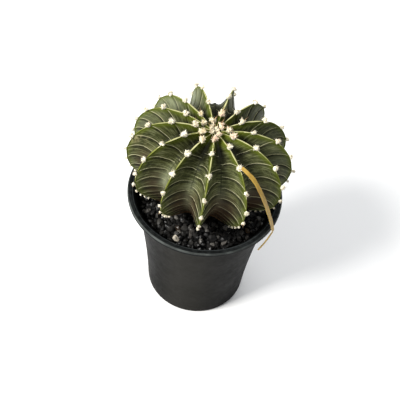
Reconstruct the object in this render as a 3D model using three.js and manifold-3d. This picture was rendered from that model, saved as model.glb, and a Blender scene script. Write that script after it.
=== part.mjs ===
// A round ribbed cactus growing in a small black plastic pot, with a dressing of
// black gravel and a dry straw strip that runs from one rib down over the pot's lip.
// Units are millimetres, +Z is up, and the pot stands on z = 0 with its axis on Z.

import * as THREE from 'three';
import { mergeVertices } from 'three/addons/utils/BufferGeometryUtils.js';
import Module from 'manifold-3d';

const wasm = await Module();
wasm.setup();

// ---------------------------------------------------------------- driving sizes

const CLEARANCE = 0.35;            // air kept between pieces that touch on the real thing

const POT_HEIGHT = 87;
const RIM_RADIUS = 45;             // outer edge of the turned lip
const FOOT_RADIUS = 31.2;
const WALL_TOP_RADIUS = 41;        // outside of the wall, just under the lip
const WALL_THICKNESS = 1.2;
const FLOOR_THICKNESS = 1.8;
const FOOT_ROUND = 1.2;            // rounding where the wall meets the floor
const LIP_DROP = 2.6;              // how far the lip's edge hangs below its crown
const LIP_WIDTH = 3.6;             // outer edge to the inner edge of the lip
const LIP_ROUND = 0.8;             // rounding of the lip's outer edge
const LIP_CROWN = 1;               // flat ring on top of the lip
const LIP_SLOPE = 1.4;             // how far the lip falls towards the inside
const WALL_FLARE = 1.6;            // how far the wall bows in from a straight cone
const WALL_LEVELS = [26, 52, 74];  // heights at which the bowed wall is given a ring
const POT_SIDES = 48;
const DRAIN_HOLES = 5;
const DRAIN_RADIUS = 3.5;
const DRAIN_CIRCLE = 18;
const DRAIN_SIDES = 12;

const SOIL_TOP = 74.5;
const BED_TOP = 79.1;              // the grains are half sunk in a bed of this height
const GRAIN_SIZE = 2.85;           // half the width of a usual grain
const GRAIN_SPACING = 4.6;
const ROOT_HOLE_RADIUS = 18.2;
const ROOT_HOLE_FLOOR = 54;
const ROOT_HOLE_SIDES = 32;

const RIB_COUNT = 13;
const EQUATOR_HEIGHT = 110.5;      // where the cactus is widest
const CACTUS_CENTRE = new THREE.Vector3(0, 4, EQUATOR_HEIGHT);
const LEAN_RIGHT = THREE.MathUtils.degToRad(3.7);
const LEAN_BACK = THREE.MathUtils.degToRad(2.5);
const FIRST_RIB = THREE.MathUtils.degToRad(-87.7);

const STRIP_WIDTH = 2.4;
const STRIP_THICKNESS = 0.7;

const FULL_TURN = 2 * Math.PI;
const OCTAHEDRON_GROWTH = 1.15;    // makes an eight-sided lump as full as the round one it stands for

// ---------------------------------------------------------------- small helpers

// Uneven places are drawn from a seeded generator, so every build is the same.
function seededRandom(seed) {
  let state = seed;
  return function next() {
    state = (Math.imul(state, 1664525) + 1013904223) >>> 0;
    return state / 4294967296;
  };
}

// Turns a closed three.js geometry into a solid that can be joined and cut.
function solidFrom(geometry) {
  const bare = geometry.clone();
  bare.deleteAttribute('normal');
  bare.deleteAttribute('uv');
  const merged = mergeVertices(bare, 1e-4);
  return new wasm.Manifold(new wasm.Mesh({
    numProp: 3,
    vertProperties: new Float32Array(merged.attributes.position.array),
    triVerts: new Uint32Array(merged.index.array),
  }));
}

// Turns a solid back into a three.js geometry.
function geometryFrom(solid) {
  const mesh = solid.getMesh();
  const geometry = new THREE.BufferGeometry();
  geometry.setAttribute('position', new THREE.BufferAttribute(mesh.vertProperties, 3));
  geometry.setIndex(new THREE.BufferAttribute(mesh.triVerts, 1));
  geometry.computeVertexNormals();
  return geometry;
}

// Joins many solids into one, two by two, which keeps each join small.
function joinAll(solids) {
  let level = solids;
  while (level.length > 1) {
    const next = [];
    for (let i = 0; i < level.length; i += 2) {
      next.push(i + 1 < level.length ? level[i].add(level[i + 1]) : level[i]);
    }
    level = next;
  }
  return level[0];
}

// A lathe profile is written as [radius, height] pairs and turned about Z.
function latheAboutZ(profile, sides) {
  const points = profile.map(([radius, height]) => new THREE.Vector2(radius, height));
  const geometry = new THREE.LatheGeometry(points, sides);
  geometry.rotateX(Math.PI / 2);
  return geometry;
}

function namedMesh(name, geometry, colour, roughness, metalness) {
  const material = new THREE.MeshStandardMaterial({ color: colour, roughness, metalness });
  const mesh = new THREE.Mesh(geometry, material);
  mesh.name = name;
  return mesh;
}

// ---------------------------------------------------------------- pot

// The wall is a cone that flares gently towards the lip.
function wallRadius(height) {
  const rise = height / POT_HEIGHT;
  const cone = FOOT_RADIUS + (WALL_TOP_RADIUS - FOOT_RADIUS) * rise;
  return cone - WALL_FLARE * 4 * rise * (1 - rise);
}

function innerRadius(height) {
  return wallRadius(height) - WALL_THICKNESS;
}

const INNER_FOOT_RADIUS = FOOT_RADIUS - WALL_THICKNESS - FOOT_ROUND;

// The foot, the wall, the turned lip and the inside, as one closed profile.
function potProfile() {
  const lipFoot = POT_HEIGHT - LIP_DROP;
  const fillet = lipFoot - LIP_CROWN;
  const innerLip = lipFoot - LIP_ROUND;
  const outside = WALL_LEVELS.map((height) => [wallRadius(height), height]);
  const inside = WALL_LEVELS.map((height) => [innerRadius(height), height]).reverse();
  return [
    [0, 0],
    [FOOT_RADIUS - FOOT_ROUND, 0],
    [wallRadius(FOOT_ROUND), FOOT_ROUND],
    ...outside,
    [wallRadius(fillet), fillet],
    [WALL_TOP_RADIUS + LIP_ROUND / 2, lipFoot],
    [RIM_RADIUS - LIP_ROUND, lipFoot],
    [RIM_RADIUS, lipFoot + LIP_ROUND],
    [RIM_RADIUS, POT_HEIGHT - LIP_ROUND],
    [RIM_RADIUS - LIP_ROUND, POT_HEIGHT],
    [RIM_RADIUS - LIP_ROUND - LIP_CROWN, POT_HEIGHT],
    [RIM_RADIUS - LIP_WIDTH, POT_HEIGHT - LIP_SLOPE],
    [innerRadius(innerLip), innerLip],
    ...inside,
    [INNER_FOOT_RADIUS, FLOOR_THICKNESS],
    [0, FLOOR_THICKNESS],
  ];
}

function buildPot() {
  const shell = solidFrom(latheAboutZ(potProfile(), POT_SIDES));
  const drains = [];
  for (let i = 0; i < DRAIN_HOLES; i += 1) {
    const angle = (i / DRAIN_HOLES) * FULL_TURN;
    const drain = new THREE.CylinderGeometry(
      DRAIN_RADIUS,
      DRAIN_RADIUS,
      FLOOR_THICKNESS * 4,
      DRAIN_SIDES,
    );
    drain.rotateX(Math.PI / 2);
    drain.translate(DRAIN_CIRCLE * Math.cos(angle), DRAIN_CIRCLE * Math.sin(angle), 0);
    drains.push(solidFrom(drain));
  }
  return geometryFrom(shell.subtract(joinAll(drains)));
}

// ---------------------------------------------------------------- cactus body

// Crest and valley of a rib, seen from the side as [radius, height above the equator].
// The pairs stand at one areole after another, from the crown to below the body.
const CREST = [
  [0, 21.4], [7.7, 23.5], [19.6, 24.9], [32.7, 22.1], [42, 13.4], [45.7, 3.2],
  [45.2, -5.2], [42.8, -11.3], [39.7, -15.1], [36.8, -17.9], [34.1, -20.2],
  [31.3, -22.2], [25.6, -25.9], [17.6, -30.5], [16.2, -36], [13, -46], [6, -52.6], [0, -53.4],
];
const VALLEY = [
  [0, 21.4], [7, 20.6], [15.5, 19.3], [24.3, 15.6], [30.2, 8.2], [32.4, 0.8],
  [32, -6], [30.2, -11], [28.2, -14.8], [26.2, -17.9], [24.2, -20.3],
  [22.2, -22.6], [19.6, -26], [16.9, -30.5], [16.2, -36], [13, -46], [6, -52.6], [0, -53.4],
];
const NECK_COUNT = 12;             // areole count at which the body meets the gravel
const LAST_COUNT = CREST.length - 2;
const LAST_AREOLE = 9;

// How far each rib stands off its even place in degrees, how far its areoles are shifted
// along it in areole steps, and how widely they are spaced against the usual step. The
// ribs run clockwise from the front one.
const RIB_OFFSET = [-3.5, -5.4, -4.2, -4, 0.6, 5, 1.8, -0.9, 0.4, -0.1, 2.3, 4.7, -0.2];
const RIB_PHASE = [
  0.09, 0.51, -0.07, 0.25, -0.24, 0.19, -0.17, 0.34, -0.12, 0.66, 0.05, 0.45, -0.21,
];
const RIB_STRETCH = [0.99, 1, 0.95, 0.96, 0.92, 0.91, 1, 1.02, 1.12, 1.02, 1.03, 1.06, 1.06];

// Ribs at the sides and the back grew a little larger than those in front, and the valleys
// after two of them are shallower: their floor is this share of the way to the crest curve.
const RIB_GROWTH = [
  0.985, 0.975, 1, 1.015, 1.02, 1.02, 1.03, 1.03, 1.03, 1.02, 1.02, 1.01, 0.98,
];
const VALLEY_FILL = [0, 0, 0, 0, 0, 0, 0.2, 0.2, 0, 0, 0, 0, 0];
const wrapped = (rib) => (rib + RIB_COUNT) % RIB_COUNT;

// The count at which a rib has its areole of a given number, and the way back. Numbers are
// spaced out from the third areole of the rib.
const STRETCH_FROM = 2;
function areoleCount(step, rib) {
  return STRETCH_FROM + (step - STRETCH_FROM) * RIB_STRETCH[rib] + RIB_PHASE[rib];
}

function areoleNumber(count, rib) {
  return STRETCH_FROM + (count - RIB_PHASE[rib] - STRETCH_FROM) / RIB_STRETCH[rib];
}

const toCurve = (pairs) => new THREE.SplineCurve(pairs.map(([r, z]) => new THREE.Vector2(r, z)));
const crestCurve = toCurve(CREST);
const valleyCurve = toCurve(VALLEY);

// Areole 0 is the first pair after the apex, so the count is one less than the pair's.
function alongCurve(curve, count) {
  return curve.getPoint(THREE.MathUtils.clamp((count + 1) / (LAST_COUNT + 1), 0, 1));
}

function ribAngle(rib) {
  const even = FIRST_RIB - (rib * FULL_TURN) / RIB_COUNT;
  return even + THREE.MathUtils.degToRad(RIB_OFFSET[wrapped(rib)]);
}

// The cross bands leave an areole, climb close beside the crest and then run level to the
// valley. They climb more the lower they start, up to one whole areole step.
const BAND_LIFT = 1;
const BAND_CLIMB_POWER = 6;        // the higher, the closer to the crest a band does its climbing
function bandLift(count, across) {
  const { smoothstep } = THREE.MathUtils;
  const climb = smoothstep(count, 0.4, 5.4) * (1 - smoothstep(count, 8, 11));
  return BAND_LIFT * climb * (1 - (1 - across) ** BAND_CLIMB_POWER);
}

// A rib is thin at the shoulder and stouter lower down, and the valley's floor is round.
const THIN_RIB_POWER = 1.75;
const STOUT_RIB_POWER = 1.3;
const VALLEY_ROUND = 0.3;
function ribShare(count, across, fill) {
  const stoutness = THREE.MathUtils.smoothstep(count, 1, 5);
  const flank = (1 - across) ** THREE.MathUtils.lerp(THIN_RIB_POWER, STOUT_RIB_POWER, stoutness);
  const rounded = (Math.hypot(flank, VALLEY_ROUND) - VALLEY_ROUND)
    / (Math.hypot(1, VALLEY_ROUND) - VALLEY_ROUND);
  return THREE.MathUtils.lerp(rounded, 1, fill * across ** 2);
}

// Growth sets in below the crown, is gone at the base, and is shared out across the flank.
function growth(count, rib, side, across) {
  const { lerp, smoothstep } = THREE.MathUtils;
  const full = lerp(RIB_GROWTH[rib], RIB_GROWTH[wrapped(rib + side)], across / 2);
  return lerp(1, full, smoothstep(count, -0.5, 1.2) * (1 - smoothstep(count, 6, 9)));
}

const leanTurn = new THREE.Matrix4().makeRotationY(LEAN_RIGHT)
  .multiply(new THREE.Matrix4().makeRotationX(-LEAN_BACK));
const neckHeight = crestCurve.points[NECK_COUNT + 1].y;
const rootShift = new THREE.Vector3(0, 0, neckHeight).applyMatrix4(leanTurn)
  .sub(new THREE.Vector3(0, 0, neckHeight));

// The body leans a little, and its root goes straight down into the hole.
const NECK_BLEND = 12;             // height over which the lean sets in
function placed(point) {
  const leaning = point.clone().applyMatrix4(leanTurn);
  const upright = point.clone().add(rootShift);
  const share = THREE.MathUtils.smoothstep(point.z, neckHeight, neckHeight + NECK_BLEND);
  return upright.lerp(leaning, share).add(CACTUS_CENTRE);
}

// A point of the skin: areole count down the rib, the rib's number, which side of it,
// how far across the flank (0 crest, 1 valley) and how much it is raised.
function skinPoint(count, rib, side, across, raised) {
  const lifted = count - bandLift(count, across);
  const crest = alongCurve(crestCurve, lifted);
  const valley = alongCurve(valleyCurve, lifted);
  const share = ribShare(lifted, across, VALLEY_FILL[side > 0 ? rib : wrapped(rib - 1)]);
  const larger = growth(lifted, rib, side, across);
  const radius = THREE.MathUtils.lerp(valley.x, crest.x, share) * larger;
  const height = THREE.MathUtils.lerp(valley.y, crest.y, share) * larger;
  const half = 0.5 * (ribAngle(rib + side) - ribAngle(rib));
  const angle = ribAngle(rib) + across * half;
  const slope = crestCurve.getTangent(THREE.MathUtils.clamp((lifted + 1) / (LAST_COUNT + 1), 0, 0.999));
  const outward = radius - slope.y * raised;
  return placed(new THREE.Vector3(
    outward * Math.cos(angle),
    outward * Math.sin(angle),
    height + slope.x * raised,
  ));
}

// The pale cross bands stand proud of the flank, and the crest bulges between areoles.
const BAND_HEIGHT = 0.4;
const CREST_BULGE = 0.6;
const FIRST_BAND = 0.4;
function raisedBy(count, rib, across) {
  if (count < FIRST_BAND || count > LAST_AREOLE) return 0;
  const turn = areoleNumber(count, rib) * Math.PI;
  if (across === 0) return CREST_BULGE * Math.abs(Math.sin(turn));
  return BAND_HEIGHT * Math.cos(turn) ** 6 * (1 - 0.6 * across ** 2);
}

// Rows of the skin lie close where the areoles are far apart, and wider below.
const CLOSE_ROWS_END = 5;
function bodyRows() {
  const rows = [-0.75, -0.4];
  for (let count = 0; count < CLOSE_ROWS_END; count += 0.25) rows.push(count);
  for (let count = CLOSE_ROWS_END; count <= LAST_AREOLE; count += 0.5) rows.push(count);
  rows.push(10, 11, NECK_COUNT, 13, 14, LAST_COUNT - 1);
  return rows;
}

// The skin is a grid of rows round the body, closed by a point at the crown and the root.
// Each four-cornered patch is split along the way that the cross bands climb.
const ACROSS = [0.3, 0.66];        // stations on the flank, between the crest and the valley
function buildBody() {
  const places = [];
  for (let rib = 0; rib < RIB_COUNT; rib += 1) {
    for (const across of [...ACROSS].reverse()) places.push({ rib, side: -1, across });
    for (const across of [0, ...ACROSS, 1]) places.push({ rib, side: 1, across });
  }
  const rows = bodyRows();
  const positions = [];
  const add = (point) => positions.push(point.x, point.y, point.z);
  add(placed(new THREE.Vector3(0, 0, CREST[0][1])));
  for (const count of rows) {
    for (const { rib, side, across } of places) {
      const raised = raisedBy(count, rib, across);
      add(skinPoint(count, rib, side, across, raised));
    }
  }
  add(placed(new THREE.Vector3(0, 0, CREST[CREST.length - 1][1])));
  const around = places.length;
  const last = rows.length * around + 1;
  const index = [];
  for (let i = 0; i < around; i += 1) {
    const j = (i + 1) % around;
    const leavesCrest = places[j].across > places[i].across;
    index.push(0, 1 + j, 1 + i);
    for (let row = 0; row < rows.length - 1; row += 1) {
      const top = 1 + row * around;
      const low = top + around;
      if (leavesCrest) index.push(top + i, top + j, low + j, top + i, low + j, low + i);
      else index.push(top + i, top + j, low + i, top + j, low + j, low + i);
    }
    const end = last - around;
    index.push(end + i, end + j, last);
  }
  const geometry = new THREE.BufferGeometry();
  geometry.setAttribute('position', new THREE.Float32BufferAttribute(positions, 3));
  geometry.setIndex(index);
  return solidFrom(geometry);
}

// ---------------------------------------------------------------- areoles and spines

// A tuft of wool sits on the crest at each areole, largest on the shoulder.
const TUFT_AT_CROWN = 1.75;
const TUFT_AT_SHOULDER = 2.2;
const TUFT_AT_BASE = 1.2;
const TUFT_SINK = 0.3;             // how far its middle stands over the crest, in its own size
function tuftSize(count) {
  const grown = THREE.MathUtils.smoothstep(count, -0.2, 1.4);
  const fading = THREE.MathUtils.smoothstep(count, 2.2, 7);
  const upper = THREE.MathUtils.lerp(TUFT_AT_CROWN, TUFT_AT_SHOULDER, grown);
  return upper - (TUFT_AT_SHOULDER - TUFT_AT_BASE) * fading;
}

function buildTufts() {
  const random = seededRandom(11);
  const tufts = [];
  for (let rib = 0; rib < RIB_COUNT; rib += 1) {
    for (let step = 0; step <= LAST_AREOLE; step += 1) {
      const count = areoleCount(step, rib);
      const size = tuftSize(count);
      const wool = new THREE.OctahedronGeometry(size * OCTAHEDRON_GROWTH, 0);
      wool.rotateX(random() * FULL_TURN);
      wool.rotateZ(random() * FULL_TURN);
      const seat = skinPoint(count, rib, 1, 0, size * TUFT_SINK);
      wool.translate(seat.x, seat.y, seat.z);
      tufts.push(solidFrom(wool));
    }
  }
  return tufts;
}

// The uppermost areoles carry a few short thin spines that point up and outwards.
const SPINE_LENGTH = 4.2;
const SPINE_RADIUS = 0.4;
const SPINED_AREOLES = 2;
function buildSpines() {
  const random = seededRandom(29);
  const spines = [];
  for (let rib = 0; rib < RIB_COUNT; rib += 1) {
    for (let step = 0; step < SPINED_AREOLES; step += 1) {
      const count = areoleCount(step, rib);
      const spine = new THREE.ConeGeometry(SPINE_RADIUS, SPINE_LENGTH, 3);
      spine.translate(0, SPINE_LENGTH / 2, 0);
      const spread = (random() - 0.5) * 0.9;
      const angle = ribAngle(rib) + spread;
      const tilt = 0.5 + 0.4 * random() + 0.25 * step;
      const direction = new THREE.Vector3(
        Math.cos(angle) * Math.sin(tilt),
        Math.sin(angle) * Math.sin(tilt),
        Math.cos(tilt),
      );
      const turn = new THREE.Quaternion().setFromUnitVectors(new THREE.Vector3(0, 1, 0), direction);
      spine.applyQuaternion(turn);
      const seat = skinPoint(count, rib, 1, 0, 0);
      spine.translate(seat.x, seat.y, seat.z);
      spines.push(solidFrom(spine));
    }
  }
  return spines;
}

function buildCactus() {
  return geometryFrom(joinAll([buildBody(), ...buildTufts(), ...buildSpines()]));
}

// ---------------------------------------------------------------- soil and gravel

const rootPlace = rootShift.clone().add(CACTUS_CENTRE);

// A straight hole in soil or gravel for the root, between two heights.
function rootHole(low, high) {
  const hole = new THREE.CylinderGeometry(
    ROOT_HOLE_RADIUS,
    ROOT_HOLE_RADIUS,
    high - low,
    ROOT_HOLE_SIDES,
  );
  hole.rotateX(Math.PI / 2);
  hole.translate(rootPlace.x, rootPlace.y, (low + high) / 2);
  return solidFrom(hole);
}

function buildSoil() {
  const floor = FLOOR_THICKNESS + CLEARANCE;
  const levels = [...WALL_LEVELS, SOIL_TOP];
  const profile = [
    [0, floor],
    [INNER_FOOT_RADIUS - CLEARANCE, floor],
    ...levels.map((height) => [innerRadius(height) - CLEARANCE, height]),
    [0, SOIL_TOP],
  ];
  const body = solidFrom(latheAboutZ(profile, POT_SIDES));
  return geometryFrom(body.subtract(rootHole(ROOT_HOLE_FLOOR, SOIL_TOP + 5)));
}

// A grain of crushed stone is an eight-sided lump with its corners pushed about.
function buildGrain(x, y, z, size, random) {
  const grain = mergeVertices(new THREE.OctahedronGeometry(size, 0).deleteAttribute('uv')
    .deleteAttribute('normal'));
  const corners = grain.attributes.position;
  for (let i = 0; i < corners.count; i += 1) {
    const push = 0.85 + 0.35 * random();
    corners.setXYZ(i, corners.getX(i) * push, corners.getY(i) * push, corners.getZ(i) * push);
  }
  grain.rotateX(random() * FULL_TURN);
  grain.rotateY(random() * FULL_TURN);
  grain.rotateZ(random() * FULL_TURN);
  grain.translate(x, y, z);
  return solidFrom(grain);
}

// Grains lie in rings from the wall inwards, each shifted a little off its even place.
const RING_GAP = 0.93;             // rings lie this much closer than grains within a ring
const GRAIN_REACH = 1.08;          // how far a jagged corner may stand out, in grain sizes
function buildGravel() {
  const random = seededRandom(5);
  const bedFoot = SOIL_TOP + CLEARANCE;
  const outer = innerRadius(BED_TOP) - CLEARANCE;
  const bed = solidFrom(latheAboutZ([
    [0, bedFoot],
    [innerRadius(bedFoot) - CLEARANCE, bedFoot],
    [outer, BED_TOP],
    [0, BED_TOP],
  ], POT_SIDES));
  const grains = [];
  const innermost = ROOT_HOLE_RADIUS / 2;
  for (let ring = outer - GRAIN_SIZE; ring > innermost; ring -= GRAIN_SPACING * RING_GAP) {
    const places = Math.round((FULL_TURN * ring) / GRAIN_SPACING);
    const start = random() * FULL_TURN;
    for (let i = 0; i < places; i += 1) {
      const size = GRAIN_SIZE * (0.8 + 0.32 * random());
      const angle = start + ((i + 0.3 * (random() - 0.5)) / places) * FULL_TURN;
      const radius = Math.min(ring + 0.9 * (random() - 0.5), outer - size * GRAIN_REACH);
      const x = radius * Math.cos(angle);
      const y = radius * Math.sin(angle);
      const away = Math.hypot(x - rootPlace.x, y - rootPlace.y);
      const height = BED_TOP + 0.7 * (random() - 0.3);
      const clear = away > ROOT_HOLE_RADIUS + size * GRAIN_REACH;
      if (clear) grains.push(buildGrain(x, y, height, size, random));
    }
  }
  const dressing = joinAll([bed, ...grains]);
  return geometryFrom(dressing.subtract(rootHole(bedFoot - 2, BED_TOP + 12)));
}

// ---------------------------------------------------------------- straw strip

// The strip leaves an areole near the crown, falls in a flat arc between two ribs, passes
// the lip's outer edge, turns along it and lies against the pot. Points are [x, y, z].
const STRIP_ROUTE = [
  [17.6, -21.6, 137.4], [21, -24, 135], [23.9, -26, 131.8], [26.6, -27.4, 128.2],
  [29, -28.3, 124], [31.2, -28.6, 119], [33.4, -28.2, 113], [35.5, -27.2, 106],
  [37.4, -25.8, 99], [38.9, -24.6, 93], [39.9, -23.6, 88.4],
  [40.1, -23.4, 86.2], [38.7, -25.6, 84.4], [36.3, -28.6, 81.4], [33.3, -31.2, 77.6],
];
const STRIP_STEPS = 36;
const STRIP_TAPER = 0.6;           // the strip's first end is this much narrower
const STRIP_TILT_RISE = 26;        // height over which its flat side turns to face up

function buildStrip() {
  const route = new THREE.CatmullRomCurve3(STRIP_ROUTE.map(([x, y, z]) => new THREE.Vector3(x, y, z)));
  const positions = [];
  for (let i = 0; i <= STRIP_STEPS; i += 1) {
    const point = route.getPoint(i / STRIP_STEPS);
    const along = route.getTangent(i / STRIP_STEPS);
    const outward = new THREE.Vector3(point.x, point.y, 0).normalize();
    outward.z = Math.max(0, (point.z - EQUATOR_HEIGHT) / STRIP_TILT_RISE);
    const across = new THREE.Vector3().crossVectors(along, outward).normalize();
    const normal = new THREE.Vector3().crossVectors(across, along).normalize();
    const taper = i === 0 ? STRIP_TAPER : 1;
    for (const [wide, thick] of [[-1, -1], [1, -1], [1, 1], [-1, 1]]) {
      const corner = point.clone()
        .addScaledVector(across, 0.5 * wide * STRIP_WIDTH * taper)
        .addScaledVector(normal, 0.5 * thick * STRIP_THICKNESS);
      positions.push(corner.x, corner.y, corner.z);
    }
  }
  const index = [0, 1, 2, 0, 2, 3];
  for (let i = 0; i < STRIP_STEPS; i += 1) {
    for (let side = 0; side < 4; side += 1) {
      const a = i * 4 + side;
      const b = i * 4 + ((side + 1) % 4);
      index.push(a, a + 4, b, b, a + 4, b + 4);
    }
  }
  const end = STRIP_STEPS * 4;
  index.push(end, end + 2, end + 1, end, end + 3, end + 2);
  const geometry = new THREE.BufferGeometry();
  geometry.setAttribute('position', new THREE.Float32BufferAttribute(positions, 3));
  geometry.setIndex(index);
  return geometryFrom(solidFrom(geometry));
}

// ---------------------------------------------------------------- the object

const pottedCactus = new THREE.Group();
pottedCactus.add(
  namedMesh('pot', buildPot(), 0x2b2c2b, 0.5, 0),
  namedMesh('soil', buildSoil(), 0x2a211a, 0.95, 0),
  namedMesh('gravel', buildGravel(), 0x1f1f21, 0.7, 0),
  namedMesh('cactus', buildCactus(), 0x55613a, 0.6, 0),
  namedMesh('tie_strip', buildStrip(), 0xb59a45, 0.6, 0),
);

export default pottedCactus;
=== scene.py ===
# %% [markdown]
# # A round ribbed cactus in a small black pot
#
# This lesson builds one potted plant from surfaces that are worked out with numpy. The
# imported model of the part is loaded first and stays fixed. It says where the pot, the
# soil, the gravel, the plant and the straw strip are, and every piece made here sits in
# the same place. Shapes are worked out in millimetres and become metres in the mesh.

# %% Load the fixed frame
import math

import bpy
import numpy as np
from mathutils import Matrix, Vector


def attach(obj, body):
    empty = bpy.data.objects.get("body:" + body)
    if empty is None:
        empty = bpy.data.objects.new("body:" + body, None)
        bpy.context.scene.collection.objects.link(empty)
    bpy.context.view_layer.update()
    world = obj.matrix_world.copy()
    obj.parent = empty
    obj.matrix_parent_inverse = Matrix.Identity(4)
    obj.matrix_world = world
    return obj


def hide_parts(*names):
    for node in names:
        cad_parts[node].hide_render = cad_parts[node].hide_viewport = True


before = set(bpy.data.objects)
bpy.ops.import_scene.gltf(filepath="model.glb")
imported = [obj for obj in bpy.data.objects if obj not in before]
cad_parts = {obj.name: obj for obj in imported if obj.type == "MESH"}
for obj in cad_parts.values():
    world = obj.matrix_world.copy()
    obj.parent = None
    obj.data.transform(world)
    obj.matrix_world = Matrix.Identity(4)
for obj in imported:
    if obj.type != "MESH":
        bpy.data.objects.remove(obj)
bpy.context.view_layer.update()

MM = 0.001
print("nodes:", sorted(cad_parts))

# %% [markdown]
# ## The camera
#
# The plant is seen from above and in front, from less than half a metre, so the pot
# narrows strongly towards its foot. The camera is placed by the angle at which it looks
# down, its distance from a point inside the plant, and a small roll, because it was held
# by hand. A lens length follows from how large the pot's lip looks.

# %% Camera
LOOK_DOWN = math.radians(52.04)
LOOK_DISTANCE = 450.0
ROLL = math.radians(6.71)
AIM = np.array([-2.36, 0.0, 76.9])
SENSOR = 36.0
IMAGE_SIDE = 400
FOCAL_PIXELS = 763.2


def link(name, data):
    """Puts a mesh, a lamp or a camera into the scene as an object of that name."""
    made = bpy.data.objects.new(name, data)
    bpy.context.scene.collection.objects.link(made)
    return made


def make_camera():
    """The view direction lies in the YZ plane, and right and up are turned by the roll."""
    forward = np.array([0.0, math.cos(LOOK_DOWN), -math.sin(LOOK_DOWN)])
    level = np.array([1.0, 0.0, 0.0])
    upward = np.cross(level, forward)
    right = math.cos(ROLL) * level + math.sin(ROLL) * upward
    up = -math.sin(ROLL) * level + math.cos(ROLL) * upward
    data = bpy.data.cameras.new("camera")
    data.sensor_width = SENSOR
    data.lens = FOCAL_PIXELS * SENSOR / IMAGE_SIDE
    data.clip_start = 0.01
    camera = link("camera", data)
    place = (AIM - forward * LOOK_DISTANCE) * MM
    turn = Matrix(np.stack([right, up, -forward], axis=1).tolist())
    camera.matrix_world = Matrix.Translation(Vector(place)) @ turn.to_4x4()
    bpy.context.scene.camera = camera
    return camera


camera = make_camera()
print("lens in mm:", round(camera.data.lens, 2))

# %% [markdown]
# ## Helpers for surfaces
#
# Most pieces are grids of points: rows one way and columns the other, each point a formula
# of two parameters. A few helpers list the faces of a grid and of its end caps, repeat
# them for many copies, and put points and faces into a mesh in a single step, which is
# far quicker than adding points one at a time.


# %% Grid and mesh helpers
def smooth(x, low, high):
    """Rises from 0 at low to 1 at high along t * t * (3 - 2 t)."""
    t = np.clip((np.asarray(x, float) - low) / (high - low), 0, 1)
    return t * t * (3 - 2 * t)


def unit(vectors):
    """Each vector divided by its length."""
    return vectors / np.linalg.norm(vectors, axis=-1, keepdims=True)


def circle(sides):
    """Even angles round a whole circle, from 0."""
    return np.arange(sides) * 2 * np.pi / sides


def grid_faces(rows, columns):
    """Faces of a grid, row by row, whose last column joins its first."""
    row = np.arange(rows - 1)[:, None]
    column = np.arange(columns)[None, :]
    beside = (column + 1) % columns
    low, high = row * columns, (row + 1) * columns
    return np.stack([low + column, low + beside, high + beside, high + column], -1).reshape(-1, 4)


def cap_faces(ring, centre):
    """A fan of triangles from a ring of point numbers to one centre point."""
    return np.stack([ring, np.roll(ring, -1), np.full(len(ring), centre)], -1)


def tube(rings, ends):
    """Rings of points, one row each, closed by a point at each end: points, faces, end fans."""
    rows, sides = rings.shape[:2]
    points, ring = rings.reshape(-1, 3), np.arange(sides)
    first = cap_faces(ring[::-1], len(points))
    last = cap_faces(len(points) - sides + ring, len(points) + 1)
    return np.concatenate([points, ends]), grid_faces(rows, sides), np.concatenate([first, last])


def repeated(faces, points_each, copies, first=0):
    """The same faces for each of many copies, whose points follow on from number first."""
    offsets = first + np.arange(copies)[:, None, None] * points_each
    return (faces[None] + offsets).reshape(-1, faces.shape[1])


def make_mesh(name, points, *face_sets):
    """A mesh from points in millimetres and arrays of faces, all corners in one long list."""
    mesh = bpy.data.meshes.new(name)
    mesh.vertices.add(len(points))
    mesh.vertices.foreach_set("co", (np.asarray(points) * MM).astype(np.float32).ravel())
    corners = np.concatenate([faces.ravel() for faces in face_sets]).astype(np.int32)
    sizes = np.concatenate([np.full(len(faces), faces.shape[1]) for faces in face_sets])
    mesh.loops.add(len(corners))
    mesh.loops.foreach_set("vertex_index", corners)
    mesh.polygons.add(len(sizes))
    mesh.polygons.foreach_set("loop_start", (np.cumsum(sizes) - sizes).astype(np.int32))
    mesh.update(calc_edges=True)
    return mesh


def add_attribute(mesh, name, values, kind="FLOAT", domain="POINT"):
    """Stores one number or vector for each point or corner, for the material to read."""
    field = "value" if kind == "FLOAT" else "vector"
    attribute = mesh.attributes.new(name, kind, domain)
    attribute.data.foreach_set(field, np.asarray(values, np.float32).ravel())


def add_piece(mesh, material, node, faceted=False):
    """Links a mesh as a piece of the object: its finish, its body and what it stands for."""
    mesh.materials.append(material)
    mesh.polygons.foreach_set("use_smooth", np.full(len(mesh.polygons), not faceted))
    piece = link(mesh.name, mesh)
    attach(piece, "root")
    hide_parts(node)
    triangles = sum(len(p.vertices) - 2 for p in mesh.polygons)
    print(f"{mesh.name}: {len(mesh.vertices)} points, {triangles} triangles")


print("faces of a closed grid of 3 rows by 4:", len(grid_faces(3, 4)))

# %% [markdown]
# ## Helpers for materials
#
# A material is a small graph of nodes. These helpers add a node, feed its sockets and do
# arithmetic, so that each finish below reads as a short recipe. A socket knows the graph
# it belongs to, so a helper that is given a socket adds its node to the same graph.
# Colours are given as they look on screen, from 0 to 255.


# %% Node helpers
def feed(target, value):
    """Joins a socket to another, or sets it to a plain value."""
    if isinstance(value, bpy.types.NodeSocket):
        target.id_data.links.new(value, target)
    else:
        target.default_value = value


def feed_named(node, **values):
    """Feeds sockets by their names, with _ in place of a space."""
    for name, value in values.items():
        feed(node.inputs[name.replace("_", " ")], value)


def add_node(tree, kind, *values, **settings):
    """Adds a node, sets its properties and feeds its sockets in their order."""
    made = tree.nodes.new(kind)
    for name, value in settings.items():
        setattr(made, name, value)
    for socket, value in zip(made.inputs, values):
        feed(socket, value)
    return made


def maths(operation, *values, clamp=False):
    """One arithmetic step, in the graph of the first socket among the values."""
    tree = next(v.id_data for v in values if isinstance(v, bpy.types.NodeSocket))
    step = add_node(tree, "ShaderNodeMath", *values, operation=operation, use_clamp=clamp)
    return step.outputs[0]


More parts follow.
